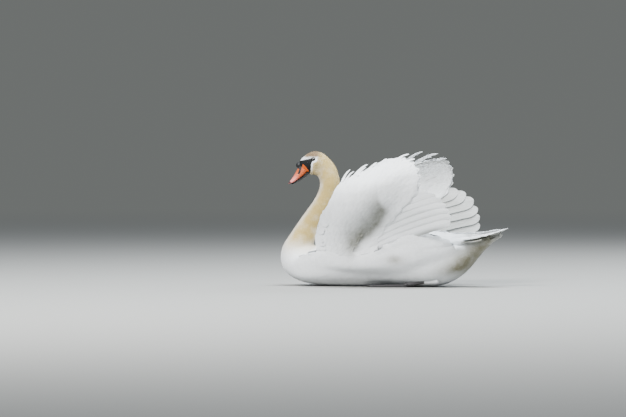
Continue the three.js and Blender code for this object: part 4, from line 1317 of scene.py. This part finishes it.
def wrap_up(piece, material, slot, *nodes):
    """Finishes a piece: faces, material, and the CAD nodes that it replaces. slot is not used."""
    modify(piece, "TRIANGULATE")
    pick(piece)
    bpy.ops.object.shade_smooth()
    piece.data.materials.clear()
    piece.data.materials.append(material)
    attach(piece, BODY)
    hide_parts(*nodes)


def bill_share(here):
    """How far along the bill points lie, 0 at its root and 1 at its tip."""
    axis = BILL_TIP - BILL_ROOT
    return ((here[:, 1:] - BILL_ROOT) @ axis) / (axis @ axis)


def make_upper_bill():
    """The upper bill with its nostrils, nail, ridge and grooved edges, and where it is black and pink."""
    piece = remade("upper_bill", "bill_upper", BILL_VOXEL, 5)
    points = points_of(piece)
    here = in_head(points)
    flat = here[:, 1:]
    share = bill_share(here)
    axis = unit(BILL_TIP - BILL_ROOT)
    from_hole = flat - [NOSTRIL["y"], NOSTRIL["z"]]
    along, aside = from_hole @ axis, from_hole @ np.array([-axis[1], axis[0]])
    hole = np.exp(-((along / NOSTRIL["long"]) ** 4) - (aside / NOSTRIL["high"]) ** 2)
    above_edge = flat[:, 1] - np.interp(flat[:, 0], UPPER_EDGE[:, 0], UPPER_EDGE[:, 1])
    groove = np.exp(-(((above_edge - 0.0030) / 0.0008) ** 2))
    groove = groove * ramp(share, 0.02, 0.15) * ramp(-share, -0.95, -0.8)
    nail = ramp(share, NAIL_FROM, NAIL_FROM + 0.04) * ramp(-np.abs(here[:, 0]), -0.0085, -0.0055)
    ridge = np.exp(-((here[:, 0] / 0.0035) ** 2)) * ramp(-share, -0.5, -0.1) * (above_edge > 0.010)
    normals = vertex_normals(points, triangles_of(piece))
    push = 0.0005 * nail + 0.0004 * ridge - NOSTRIL["deep"] * hole - 0.0004 * groove
    set_points(piece, points + normals * push[:, None])
    band = ramp(-to_line(flat, BLACK_BAND), -0.0046, -0.0032)
    knob = np.array([KNOB["y"], KNOB["z"]])
    near_knob = ramp(-np.linalg.norm(flat - knob, axis=1), -0.0138, -0.0120) * (flat[:, 0] < -0.3333)
    edge = ramp(-above_edge, -0.0024, -0.0014)
    tip = ramp(share, NAIL_FROM, NAIL_FROM + 0.04) * ramp(above_edge, 0.0018, 0.0034)
    write_attribute(piece, "dark", np.max([band, near_knob, edge, tip, ramp(hole, 0.25, 0.6)], 0))
    write_attribute(piece, "pink", ramp(share, 0.30, 0.95))
    return piece


def make_knob():
    """The black knob over the bill, drawn out into the forehead and wrinkled."""
    bpy.ops.mesh.primitive_uv_sphere_add(segments=64, ring_count=40, radius=1)
    piece = bpy.context.object
    piece.name = "bill_knob_black"
    ball = points_of(piece)
    wrinkle = 0.02 * np.sin(ball[:, 0] * 9 + 3 * ball[:, 2]) * np.sin(ball[:, 1] * 8 - 2 * ball[:, 0])
    wrinkle += 0.012 * np.sin(ball[:, 2] * 23 + 4 * ball[:, 1]) * np.cos(ball[:, 0] * 19)
    ball[:, 1] *= np.where(ball[:, 1] > 0, 1.45, 1.0)
    shape = ball * (1 + wrinkle)[:, None] * KNOB["radii"]
    placed = on_head(shape[:, 0], shape[:, 1] + KNOB["y"], shape[:, 2] + KNOB["z"])
    set_points(piece, placed.T)
    return piece


EYE_FACING = 0.16  # how far the eyes look ahead as well as aside
BARE_RING = 0.0074  # no feathers grow nearer than this to the middle of an eye
# The opening of the lids as half its length and height, the height of their rim, how far round the eye they
# are shaped, how far they stand off the ball, and the depth of the fold behind them.
LID = {"long": 0.0050, "high": 0.0040, "rim": 0.00065, "reach": 0.0125, "gap": 0.00035, "thick": 0.00025,
       "fold": 0.00035, "sunk": 0.0011}


def eye_frame(side):
    """The middle of an eye, and the ways out, ahead and up from it."""
    middle = on_head(side * EYE["out"], EYE["y"], EYE["z"])
    out = on_head(side * (EYE["out"] + 1), EYE["y"] - EYE_FACING, EYE["z"] + 0.12) - middle
    out = out / np.linalg.norm(out)
    ahead = on_head(side * EYE["out"], EYE["y"] - 0.6, EYE["z"] - 0.8) - middle
    ahead = along_surface(ahead, out)
    return middle, out, ahead, np.cross(out, ahead)


def make_eye(side_name):
    """An eyeball whose pole looks out, with its pupil round it."""
    bpy.ops.mesh.primitive_uv_sphere_add(segments=48, ring_count=32, radius=EYE["radius"])
    piece = bpy.context.object
    piece.name = f"{side_name}_eyeball"
    middle, out, ahead, up = eye_frame(SIDES[side_name])
    ball = points_of(piece)
    set_points(piece, middle + ball[:, :1] * ahead + ball[:, 1:2] * up + ball[:, 2:] * out)
    write_attribute(piece, "pupil", ramp(ball[:, 2] / EYE["radius"], 0.80, 0.84))
    if np.linalg.det(np.stack([ahead, up, out])) < 0:
        edit(piece, bpy.ops.mesh.flip_normals)
    return piece


def finer(skin, near, cuts):
    """Cuts up the faces whose corners are all near."""
    pick(skin)
    bpy.ops.object.mode_set(mode="EDIT")
    bpy.ops.mesh.select_mode(type="VERT")
    bpy.ops.mesh.select_all(action="DESELECT")
    bpy.ops.object.mode_set(mode="OBJECT")
    skin.data.vertices.foreach_set("select", near)
    bpy.ops.object.mode_set(mode="EDIT")
    bpy.ops.mesh.subdivide(number_cuts=cuts)
    bpy.ops.object.mode_set(mode="OBJECT")


def from_eyes(points):
    return np.min([np.linalg.norm(points - eye_frame(side)[0], axis=1) for side in SIDES.values()], 0)


def on_face(points):
    """True over the bare skin of the face and just round it."""
    return (lore_distance(points) < 0.007) & (in_head(points)[:, 1] < -0.28)


def bare_face(roots):
    """True where no feathers grow: on the bare skin of the face and round the eyes."""
    return (lore_distance(roots) < 0.0009) | (from_eyes(roots) < BARE_RING)


def from_face(least, more):
    """A size that grows from the bare face to the back of the head."""
    return lambda places: least + more * ramp(lore_distance(places), 0.004, 0.05)


def near_corner(points):
    """True along the rear edge of the orange corner of the mouth."""
    here = in_head(points)
    beside = np.abs(here[:, 1] - np.interp(here[:, 2], *CORNER_REAR))
    return (beside < 0.0026) & (np.abs(here[:, 2] - 0.415) < 0.016) & (np.abs(here[:, 0]) > 0.004)


def shape_lids(skin):
    """Closes the skin round each eye in two lids with a thick rim, and sinks it behind the eyeball."""
    points = points_of(skin)
    finer(skin, on_face(points) | (from_eyes(points) < 0.015), 2)
    finer(skin, from_eyes(points_of(skin)) < 0.0095, 1)
    finer(skin, near_corner(points_of(skin)), 2)
    points = points_of(skin)
    near = np.maximum(ramp(-from_eyes(points), -0.015, -0.011), on_face(points))
    points = relax(points, edges_of(skin), 0.5 * near, 8)
    for side in SIDES.values():
        middle, out, ahead, up = eye_frame(side)
        offset = points - middle
        span = np.linalg.norm(offset, axis=1)
        outward = offset @ out
        a, b = (offset @ ahead) / LID["long"], (offset @ up) / LID["high"]
        ring = np.sqrt(a**2 + b**2)
        close = (span < LID["reach"]) & (outward > -0.001)
        ball = EYE["radius"] + LID["gap"]
        flat = np.hypot(offset @ ahead, offset @ up)
        on_ball = np.sqrt(np.maximum(ball**2 - flat**2, 0))
        cover = np.maximum(outward, on_ball + LID["thick"])
        cover = cover + LID["rim"] * np.exp(-(((ring - 1.12) / 0.16) ** 2))
        fold = -LID["fold"] * np.exp(-(((ring - 1.55) / 0.13) ** 2)) * ramp(-ring, -1.9, -1.6)
        cover = outward + (cover - outward) * ramp(-flat, -0.0074, -0.0058) + fold
        sunk = np.minimum(on_ball - LID["sunk"], cover)
        inside = ramp(-ring, -1.02, -0.94)
        wanted = cover + (sunk - cover) * inside
        points = points + np.where(close, wanted - outward, 0)[:, None] * out
    set_points(skin, points)


# ---------------------------------------------------------------- feet

LEG_BALL = (0.078, 0.066)  # the joint over the toes, out and back from the swan's middle
TOE_ENDS = np.array([[-0.024, 0.110], [0.003, 0.136], [0.031, 0.122]])  # out and ahead from the joint
TOE_HALF = 0.004  # half the width of a toe
THIGH_FROM = 0.128  # how far back the feathers of the thigh start


def make_foot(side_name):
    """A webbed foot, and where it is claw and web rather than toe."""
    piece = remade(f"{side_name}_webbed_foot", f"foot_{side_name}", 0.0012, 4)
    points = points_of(piece)
    points[:, 2] = np.maximum(points[:, 2], REST_GAP)
    side = SIDES[side_name]
    flat = np.stack([points[:, 0] * side - LEG_BALL[0], LEG_BALL[1] + SHIFT - points[:, 1]], 1)
    claw = np.zeros(len(points))
    web = np.full(len(points), 1.0)
    for end in TOE_ENDS:
        toe = np.linalg.norm(end)
        beside = np.abs(flat @ np.array([end[1], -end[0]]) / toe)
        claw = np.maximum(claw, ramp(flat @ end / toe, toe, toe + 0.002) * (beside < TOE_HALF + 0.002))
        web = np.minimum(web, ramp(beside, TOE_HALF, TOE_HALF + 0.003))
    set_points(piece, points)
    write_attribute(piece, "claw", claw)
    write_attribute(piece, "web", web)
    return piece


def thigh_lie(points):
    """Back along the shank and a little up."""
    return np.broadcast_to([0.0, 1.0, 0.10], points.shape)


def lay_thigh(name, shank):
    """Feathers over the upper end of the shank, where it comes out of the belly."""
    points, triangles = points_of(shank), triangles_of(shank)
    triangles = triangles[points[triangles].mean(1)[:, 1] > THIGH_FROM + SHIFT]
    roots, face, shares = scatter(points, triangles, 0.0050)
    corner = map_corners(points, triangles, face, shares)
    deep = 0.0005 + 0.0022 * ramp(roots[:, 1] - SHIFT, THIGH_FROM, THIGH_FROM + 0.02)
    long, thigh = at_each(0.021, roots), Surface(points, triangles)
    return lay_feathers(name, thigh, roots, deep, corner, thigh_lie, long, long * 0.42, CONTOUR)


# ---------------------------------------------------------------- finishes


def add(tree, kind, settings=None, **inputs):
    """A shader node with its settings, and its inputs linked or set. Names write a space as _."""
    made = tree.nodes.new(kind)
    for name, value in (settings or {}).items():
        setattr(made, name, value)
    for name, value in inputs.items():
        key = int(name[1:]) if name[0] == "i" and name[1:].isdigit() else name.replace("_", " ")
        if isinstance(value, bpy.types.NodeSocket):
            tree.links.new(value, made.inputs[key])
        else:
            made.inputs[key].default_value = value
    return made


def math_node(tree, operation, *values, clamp=False):
    given = {f"i{number}": value for number, value in enumerate(values)}
    return add(tree, "ShaderNodeMath", {"operation": operation, "use_clamp": clamp}, **given).outputs[0]


def scaled(tree, colour, level):
    return add(tree, "ShaderNodeVectorMath", {"operation": "SCALE"}, i0=colour, Scale=level).outputs[0]


def noise(tree, scale, detail):
    place = add(tree, "ShaderNodeTexCoord").outputs["Object"]
    return add(tree, "ShaderNodeTexNoise", Vector=place, Scale=scale, Detail=detail).outputs["Fac"]


def emboss(tree, shader, height, strength, distance):
    """Raises a finish by a height in its own surface."""
    bump = add(tree, "ShaderNodeBump", Height=height, Strength=strength, Distance=distance)
    tree.links.new(bump.outputs[0], shader.inputs["Normal"])


def blend(tree, share, first, second):
    made = add(tree, "ShaderNodeMix", {"data_type": "RGBA"}, i0=share)
    for index, value in ((6, first), (7, second)):
        if isinstance(value, bpy.types.NodeSocket):
            tree.links.new(value, made.inputs[index])
        else:
            made.inputs[index].default_value = value
    return made.outputs[2]


def attribute(tree, name):
    return add(tree, "ShaderNodeAttribute", {"attribute_name": name}).outputs["Fac"]


def group(name, inputs, outputs):
    """An empty shader group with its sockets: [name, kind, value] each."""
    tree = bpy.data.node_groups.new(name, "ShaderNodeTree")
    for label, kind, value in inputs:
        socket = tree.interface.new_socket(label, in_out="INPUT", socket_type=kind)
        socket.default_value = value
    for label, kind in outputs:
        tree.interface.new_socket(label, in_out="OUTPUT", socket_type=kind)
    return tree, tree.nodes.new("NodeGroupInput").outputs, tree.nodes.new("NodeGroupOutput").inputs


def place_group(tree, used, **inputs):
    return add(tree, "ShaderNodeGroup", {"node_tree": used}, **inputs).outputs


NUMBER, COLOUR = "NodeSocketFloat", "NodeSocketColor"


def rgb(red, green, blue):
    return (red, green, blue, 1.0)


def make_markings():
    """White plumage with its buff, rust and brown stains, and painted shade where quills overlap, on the
    inner faces of the wings and in their grooves.
    """
    tree, given, made = group(
        "Markings",
        [["White", COLOUR, rgb(0.84, 0.86, 0.88)], ["Buff", COLOUR, rgb(0.41, 0.295, 0.090)],
         ["Rust", COLOUR, rgb(0.16, 0.100, 0.046)], ["Brown", COLOUR, rgb(0.165, 0.148, 0.084)],
         ["Shade", COLOUR, rgb(0.20, 0.205, 0.185)], ["Fold", COLOUR, rgb(0.130, 0.128, 0.092)],
         ["Variation", NUMBER, 0.05]],
        [["Color", COLOUR]],
    )
    uneven = math_node(tree, "MULTIPLY_ADD", noise(tree, 38.0, 4.0), 0.6, 0.7)
    grain = math_node(tree, "MULTIPLY_ADD", noise(tree, 420.0, 2.0), 0.5, 0.75)
    patchy = math_node(tree, "MULTIPLY", uneven, grain)
    colour = given["White"]
    for name, stain in (("buff", "Buff"), ("stain", "Brown"), ("rust", "Rust")):
        share = math_node(tree, "MULTIPLY", attribute(tree, name), patchy, clamp=True)
        colour = blend(tree, share, colour, given[stain])
    # painted shade where quills overlap and on the inner faces of the wings
    shade = math_node(tree, "MULTIPLY", attribute(tree, "shade"), 0.85)
    colour = blend(tree, shade, colour, given["Shade"])
    # painted shade in the grooves of the wings and a painted shadow line under the tail
    deep = math_node(tree, "MULTIPLY", math_node(tree, "MULTIPLY", attribute(tree, "fold"), 0.9), patchy)
    colour = blend(tree, deep, colour, given["Fold"])
    tone = math_node(tree, "SUBTRACT", attribute(tree, "tone"), 0.5)
    level = math_node(tree, "MULTIPLY_ADD", tone, given["Variation"], 1.0)
    tree.links.new(scaled(tree, colour, level), made["Color"])
    return tree


def make_barbs():
    """The fine slanting barbs of a vane, and the ridge of its shaft."""
    tree, given, made = group(
        "Barbs",
        [["Fineness", NUMBER, 9.0], ["Slant", NUMBER, 0.9], ["Shaft", NUMBER, 0.05]],
        [["Height", NUMBER], ["Streak", NUMBER]],
    )
    spot = add(tree, "ShaderNodeUVMap", {"uv_map": "vane"}).outputs[0]
    parts = add(tree, "ShaderNodeSeparateXYZ", Vector=spot).outputs
    across = math_node(tree, "ABSOLUTE", parts["X"])
    slanted = math_node(tree, "MULTIPLY", across, given["Slant"])
    lag = math_node(tree, "SUBTRACT", parts["Y"], slanted)
    fine = math_node(tree, "MULTIPLY", lag, given["Fineness"])
    own = math_node(tree, "MULTIPLY", attribute(tree, "tone"), 57.0)
    line = add(tree, "ShaderNodeCombineXYZ", X=fine, Y=math_node(tree, "MULTIPLY", parts["X"], 0.5), Z=own)
    barbs = add(tree, "ShaderNodeTexNoise", Vector=line.outputs[0], Scale=1.0, Detail=3.0, Roughness=0.6)
    streak = barbs.outputs["Fac"]
    ridge = math_node(tree, "DIVIDE", across, given["Shaft"])
    ridge = math_node(tree, "SUBTRACT", 1.0, ridge, clamp=True)
    tree.links.new(math_node(tree, "ADD", streak, ridge), made["Height"])
    tree.links.new(streak, made["Streak"])
    return tree


def finish(name, **plain):
    material = bpy.data.materials.new(name)
    material.use_nodes = True
    shader = material.node_tree.nodes["Principled BSDF"]
    for key, value in plain.items():
        shader.inputs[key.replace("_", " ")].default_value = value
    return material, material.node_tree, shader


MARKINGS, BARBS = make_markings(), make_barbs()


def plumage(name, fineness, depth, variation, streak=0.10, roughness=0.6):
    """Feathers: stained white, with barbs."""
    material, tree, shader = finish(name, Roughness=roughness, Sheen_Weight=0.15, Sheen_Roughness=0.5)
    colour = place_group(tree, MARKINGS, Variation=variation)["Color"]
    barbs = place_group(tree, BARBS, Fineness=fineness)
    level = math_node(tree, "MULTIPLY_ADD", barbs["Streak"], streak * 2, 1.0 - streak)
    tree.links.new(scaled(tree, colour, level), shader.inputs["Base Color"])
    emboss(tree, shader, barbs["Height"], depth, 0.0006)
    return material


def bare_and_down():
    """The skin: black and leathery on the face, white down elsewhere."""
    material, tree, shader = finish("skin_and_down", Specular_IOR_Level=0.12)
    colour = place_group(tree, MARKINGS, Variation=0.0)["Color"]
    bare = attribute(tree, "bare")
    grain = noise(tree, 900.0, 3.0)
    black = blend(tree, grain, rgb(0.002, 0.0025, 0.003), rgb(0.010, 0.011, 0.012))
    face = blend(tree, attribute(tree, "orange"), black, rgb(0.48, 0.080, 0.006))
    tree.links.new(blend(tree, bare, colour, face), shader.inputs["Base Color"])
    tree.links.new(math_node(tree, "MULTIPLY_ADD", bare, -0.18, 0.75), shader.inputs["Roughness"])
    emboss(tree, shader, grain, 0.35, 0.0005)
    return material


def bill_orange():
    """Orange horn, paler towards the tip, with black edges."""
    material, tree, shader = finish("bill_orange", Specular_IOR_Level=0.45)
    dark = attribute(tree, "dark")
    orange = blend(tree, noise(tree, 120.0, 4.0), rgb(0.42, 0.070, 0.010), rgb(0.54, 0.100, 0.016))
    colour = blend(tree, attribute(tree, "pink"), orange, rgb(0.76, 0.215, 0.205))
    tree.links.new(blend(tree, dark, colour, rgb(0.012, 0.012, 0.014)), shader.inputs["Base Color"])
    tree.links.new(math_node(tree, "MULTIPLY_ADD", dark, 0.34, 0.38), shader.inputs["Roughness"])
    emboss(tree, shader, noise(tree, 900.0, 3.0), 0.25, 0.0004)
    return material


def bill_black():
    """Black skin or horn with a fine grain."""
    material, tree, shader = finish("bill_black", Roughness=0.52, Specular_IOR_Level=0.3)
    grain = noise(tree, 700.0, 3.0)
    colour = blend(tree, grain, rgb(0.003, 0.0035, 0.004), rgb(0.014, 0.015, 0.017))
    tree.links.new(colour, shader.inputs["Base Color"])
    emboss(tree, shader, grain, 0.35, 0.0005)
    return material


def eye_dark():
    """A brown eye with a black pupil under a clear wet coat."""
    material, tree, shader = finish("eye", Roughness=0.06, Coat_Weight=1.0, Coat_Roughness=0.03)
    colour = blend(tree, attribute(tree, "pupil"), rgb(0.035, 0.018, 0.009), rgb(0.003, 0.003, 0.003))
    tree.links.new(colour, shader.inputs["Base Color"])
    return material


def foot_skin():
    """Dark scaly skin of the leg, the toes and their webs, and the claws."""
    material, tree, shader = finish("foot_skin", Roughness=0.55)
    place = add(tree, "ShaderNodeTexCoord").outputs["Object"]
    scales = add(tree, "ShaderNodeTexVoronoi", {"feature": "DISTANCE_TO_EDGE"}, Vector=place, Scale=380.0)
    plate = add(tree, "ShaderNodeMapRange", Value=scales.outputs["Distance"], From_Min=0.0, From_Max=0.12)
    seams = blend(tree, plate.outputs[0], rgb(0.016, 0.016, 0.017), rgb(0.050, 0.050, 0.053))
    colour = blend(tree, attribute(tree, "web"), seams, rgb(0.030, 0.030, 0.032))
    colour = blend(tree, attribute(tree, "claw"), colour, rgb(0.010, 0.009, 0.008))
    tree.links.new(colour, shader.inputs["Base Color"])
    emboss(tree, shader, plate.outputs[0], 0.6, 0.0006)
    return material


# ---------------------------------------------------------------- the stage

FLOOR_COLOUR = rgb(0.27, 0.27, 0.26)
BACKDROP = rgb(0.155, 0.165, 0.160)
SKYLIGHT = rgb(0.27, 0.30, 0.33)
LIGHTS = {  # where each one stands, its size, its watts and its tint
    "key": ((4.4, -1.4, 3.7), 1.8, 640, (1.0, 0.99, 0.97)),
    "overhead": ((0.5, 0.8, 5.0), 2.6, 760, (0.90, 0.96, 1.0)),
    "back": ((-4.0, 2.6, 3.6), 2.4, 260, (0.92, 0.96, 1.0)),
}
LIT = Vector((0, 0, 0.2))  # the place that the lights face
FRAME_WIDTH = 626  # pixels
PIXEL = 0.0035  # metres across one pixel of the frame where the swan lies
AIM_PIXELS = (-81, 77.8)  # the middle of the frame, aside and up from the swan's own middle
VIEW = {"azimuth": math.radians(106), "rise": math.radians(1.0), "distance": 14.0}


def make_floor():
    """A plain pale floor that fades into the backdrop far off."""
    bpy.ops.mesh.primitive_circle_add(vertices=96, radius=60, fill_type="NGON", location=(0, 0, 0))
    floor = bpy.context.object
    floor.name = "floor"
    material, tree, shader = finish("pale_floor", Roughness=0.9, Base_Color=FLOOR_COLOUR)
    place = add(tree, "ShaderNodeTexCoord").outputs["Object"]
    away = add(tree, "ShaderNodeVectorMath", {"operation": "LENGTH"}, i0=place).outputs["Value"]
    smooth = {"interpolation_type": "SMOOTHSTEP"}
    far = add(tree, "ShaderNodeMapRange", smooth, Value=away, From_Min=1.2, From_Max=16.0)
    glow = add(tree, "ShaderNodeEmission", Color=BACKDROP)
    mixed = add(tree, "ShaderNodeMixShader", i0=far.outputs[0], i1=shader.outputs[0], i2=glow.outputs[0])
    tree.links.new(mixed.outputs[0], tree.nodes["Material Output"].inputs["Surface"])
    floor.data.materials.append(material)


def make_lights():
    """Soft light from all round and three wide lamps."""
    world = bpy.data.worlds.new("soft_light")
    bpy.context.scene.world = world
    world.use_nodes = True
    tree = world.node_tree
    seen = add(tree, "ShaderNodeLightPath").outputs["Is Camera Ray"]
    tree.links.new(blend(tree, seen, SKYLIGHT, BACKDROP), tree.nodes["Background"].inputs["Color"])
    for name, (place, size, watts, tint) in LIGHTS.items():
        light = bpy.data.lights.new(name, "AREA")
        light.size = size
        light.energy = watts
        light.color = tint
        lamp = bpy.data.objects.new(name, light)
        lamp.location = place
        lamp.rotation_euler = (LIT - Vector(place)).to_track_quat("-Z", "Y").to_euler()
        bpy.context.collection.objects.link(lamp)


def make_camera():
    azimuth, rise, distance = VIEW["azimuth"], VIEW["rise"], VIEW["distance"]
    back = Vector((math.sin(azimuth) * math.cos(rise), -math.cos(azimuth) * math.cos(rise), math.sin(rise)))
    aside = Vector((math.cos(azimuth), math.sin(azimuth), 0)) * (AIM_PIXELS[0] * PIXEL)
    up = Vector((0, 0, AIM_PIXELS[1] * PIXEL))
    camera = bpy.data.objects.new("camera", bpy.data.cameras.new("camera"))
    camera.location = back * distance + up
    camera.rotation_euler = (aside + up - camera.location).to_track_quat("-Z", "Y").to_euler()
    camera.data.lens = camera.data.sensor_width * distance / (FRAME_WIDTH * PIXEL)
    camera.data.clip_end = 200
    bpy.context.collection.objects.link(camera)
    bpy.context.scene.camera = camera


# ---------------------------------------------------------------- assembly


def dress(piece, material):
    """Gives a piece of the plumage its finish."""
    piece.data.materials.append(material)


def is_node(*names):
    """True for the skin's triangles that lie nearest to these CAD nodes."""
    return np.isin(region, [FLESH.index(name) for name in names])


make_floor()
make_lights()
make_camera()

skin = make_skin()
shape_lids(skin)
modify(skin, "TRIANGULATE")
pick(skin)
bpy.ops.object.shade_smooth()
mark(skin)
skin.data.materials.append(bare_and_down())
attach(skin, BODY)
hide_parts(*FLESH)

skin_points, skin_triangles = points_of(skin), triangles_of(skin)
flesh = Surface(skin_points, skin_triangles, 8)
depth = np.maximum(coat_depth(skin_points), 0.0008)
region = region_of(skin_points)[skin_triangles[:, 0]]
middle = skin_points[skin_triangles].mean(1)
facing = unit(face_normals(skin_points, skin_triangles))

VELVETY = plumage("velvet_plumage", 20.0, 0.25, 0.10, streak=0.08, roughness=0.75)
SOFT = plumage("body_plumage", 12.0, 0.3, 0.07, streak=0.08)
SMOOTH = plumage("wing_plumage", 9.0, 0.5, 0.09)
VANES = plumage("quill_vanes", 7.0, 0.6, 0.05, roughness=0.5)

head = is_node("head") & (lore_distance(middle) > -0.002)
spacing, length, width = from_face(0.0017, 0.0010), from_face(0.0045, 0.0055), from_face(0.0022, 0.0016)
coat = lay_coat("coat_head", head, body_lie, spacing, length, width, PLUSH, bare_face)
dress(coat, VELVETY)
neck = is_node("neck_upper", "neck_middle")
coat = lay_coat("coat_neck", neck, body_lie, 0.0033, 0.0125, 0.0052, VELVET)
dress(coat, VELVETY)

ahead = middle[:, 1] < BREAST_TO
breast = is_node("neck_lower") | (is_node("trunk") & ahead)
coat = lay_coat("coat_breast", breast, body_lie, 0.0050, 0.021, 0.0092, CONTOUR)
dress(coat, SOFT)
trunk = is_node("trunk") & ~ahead
rear = trunk & (middle[:, 1] > REAR_FROM)
belly = trunk & ~rear & (middle[:, 2] < BELLY_TO)
back = (trunk & ~rear & ~belly) | is_node("wing_left_shoulder", "wing_right_shoulder")
for name, part in (("coat_belly", belly), ("coat_back", back)):
    coat = lay_coat(name, part, body_lie, 0.0074, 0.036, 0.0165, CONTOUR)
    dress(coat, SOFT)
coat = lay_coat("coat_rear", rear, body_lie, 0.0070, short_at_tip, narrow_at_tip, CONTOUR, under_tail)
dress(coat, SOFT)

fans = [frame["nodes"][f"wing_{side}_{fan}"] for side in SIDES for fan in FANS]
wings = joined_tree([skin, *fans])[0]
for side_name, side in SIDES.items():
    arm = is_node(f"wing_{side_name}_arm")
    front = np.interp(middle[:, 2], *WING_FRONT) + 0.012
    low = (middle[:, 2] < WING_FOOT + 0.012) | (middle[:, 1] - SHIFT < front)
    rim = arm & (np.abs(facing[:, 0]) < 0.6) & (facing[:, 1] < 0.5)
    flank = is_node(f"flank_{side_name}") | (arm & low & ~rim)
    coat = lay_coat(f"coat_flank_{side_name}", flank, body_lie, 0.0068, 0.035, 0.0155, CONTOUR)
    dress(coat, SOFT)
    edge = f"coat_wing_{side_name}_edge"
    coat = lay_coat(edge, rim, rim_lie, 0.0060, 0.026, 0.0115, CONTOUR, share=RIM_SHARE)
    dress(coat, SMOOTH)
    faces = {"outer": wing_face(wings, side, True), "inner": wing_face(wings, side, False)}
    for face_name, face in faces.items():
        coat = lay_coverts(f"coat_wing_{side_name}_{face_name}", face, 0.0080)
        dress(coat, SMOOTH)
    for fan in FANS:
        vanes = make_fan(side_name, fan)
        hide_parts(f"wing_{side_name}_{fan}")
        dress(vanes, VANES)
    rump = joined_tree([skin, frame["nodes"][f"wing_{side_name}_primaries"]])[0]
    folded = make_folded_quills(side_name, rump_face(rump, side))
    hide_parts(f"wing_{side_name}_primaries")
    dress(folded, VANES)
    dress(lay_folded_coverts(side_name, 0.0064), SMOOTH)
    dress(make_wisps(side_name, faces["outer"]), VANES)
tail = make_tail()
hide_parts("tail")
dress(tail, VANES)
dress(lay_tail_coverts(0.0070), SOFT)

BLACK = bill_black()
wrap_up(make_upper_bill(), bill_orange(), "bill_orange", "bill_upper")
wrap_up(remade("lower_bill", "bill_lower", BILL_VOXEL, 4), BLACK, "bill_black", "bill_lower")
wrap_up(make_knob(), BLACK, "bill_black", "bill_knob")
FOOT, EYE_DARK = foot_skin(), eye_dark()
for side_name in SIDES:
    wrap_up(make_eye(side_name), EYE_DARK, "eye", f"eye_{side_name}")
    wrap_up(make_foot(side_name), FOOT, "foot_skin", f"foot_{side_name}")
    shank = remade(f"{side_name}_shank", f"leg_{side_name}", 0.0016, 4)
    wrap_up(shank, FOOT, "foot_skin", f"leg_{side_name}")
    dress(lay_thigh(f"coat_thigh_{side_name}", shank), SOFT)
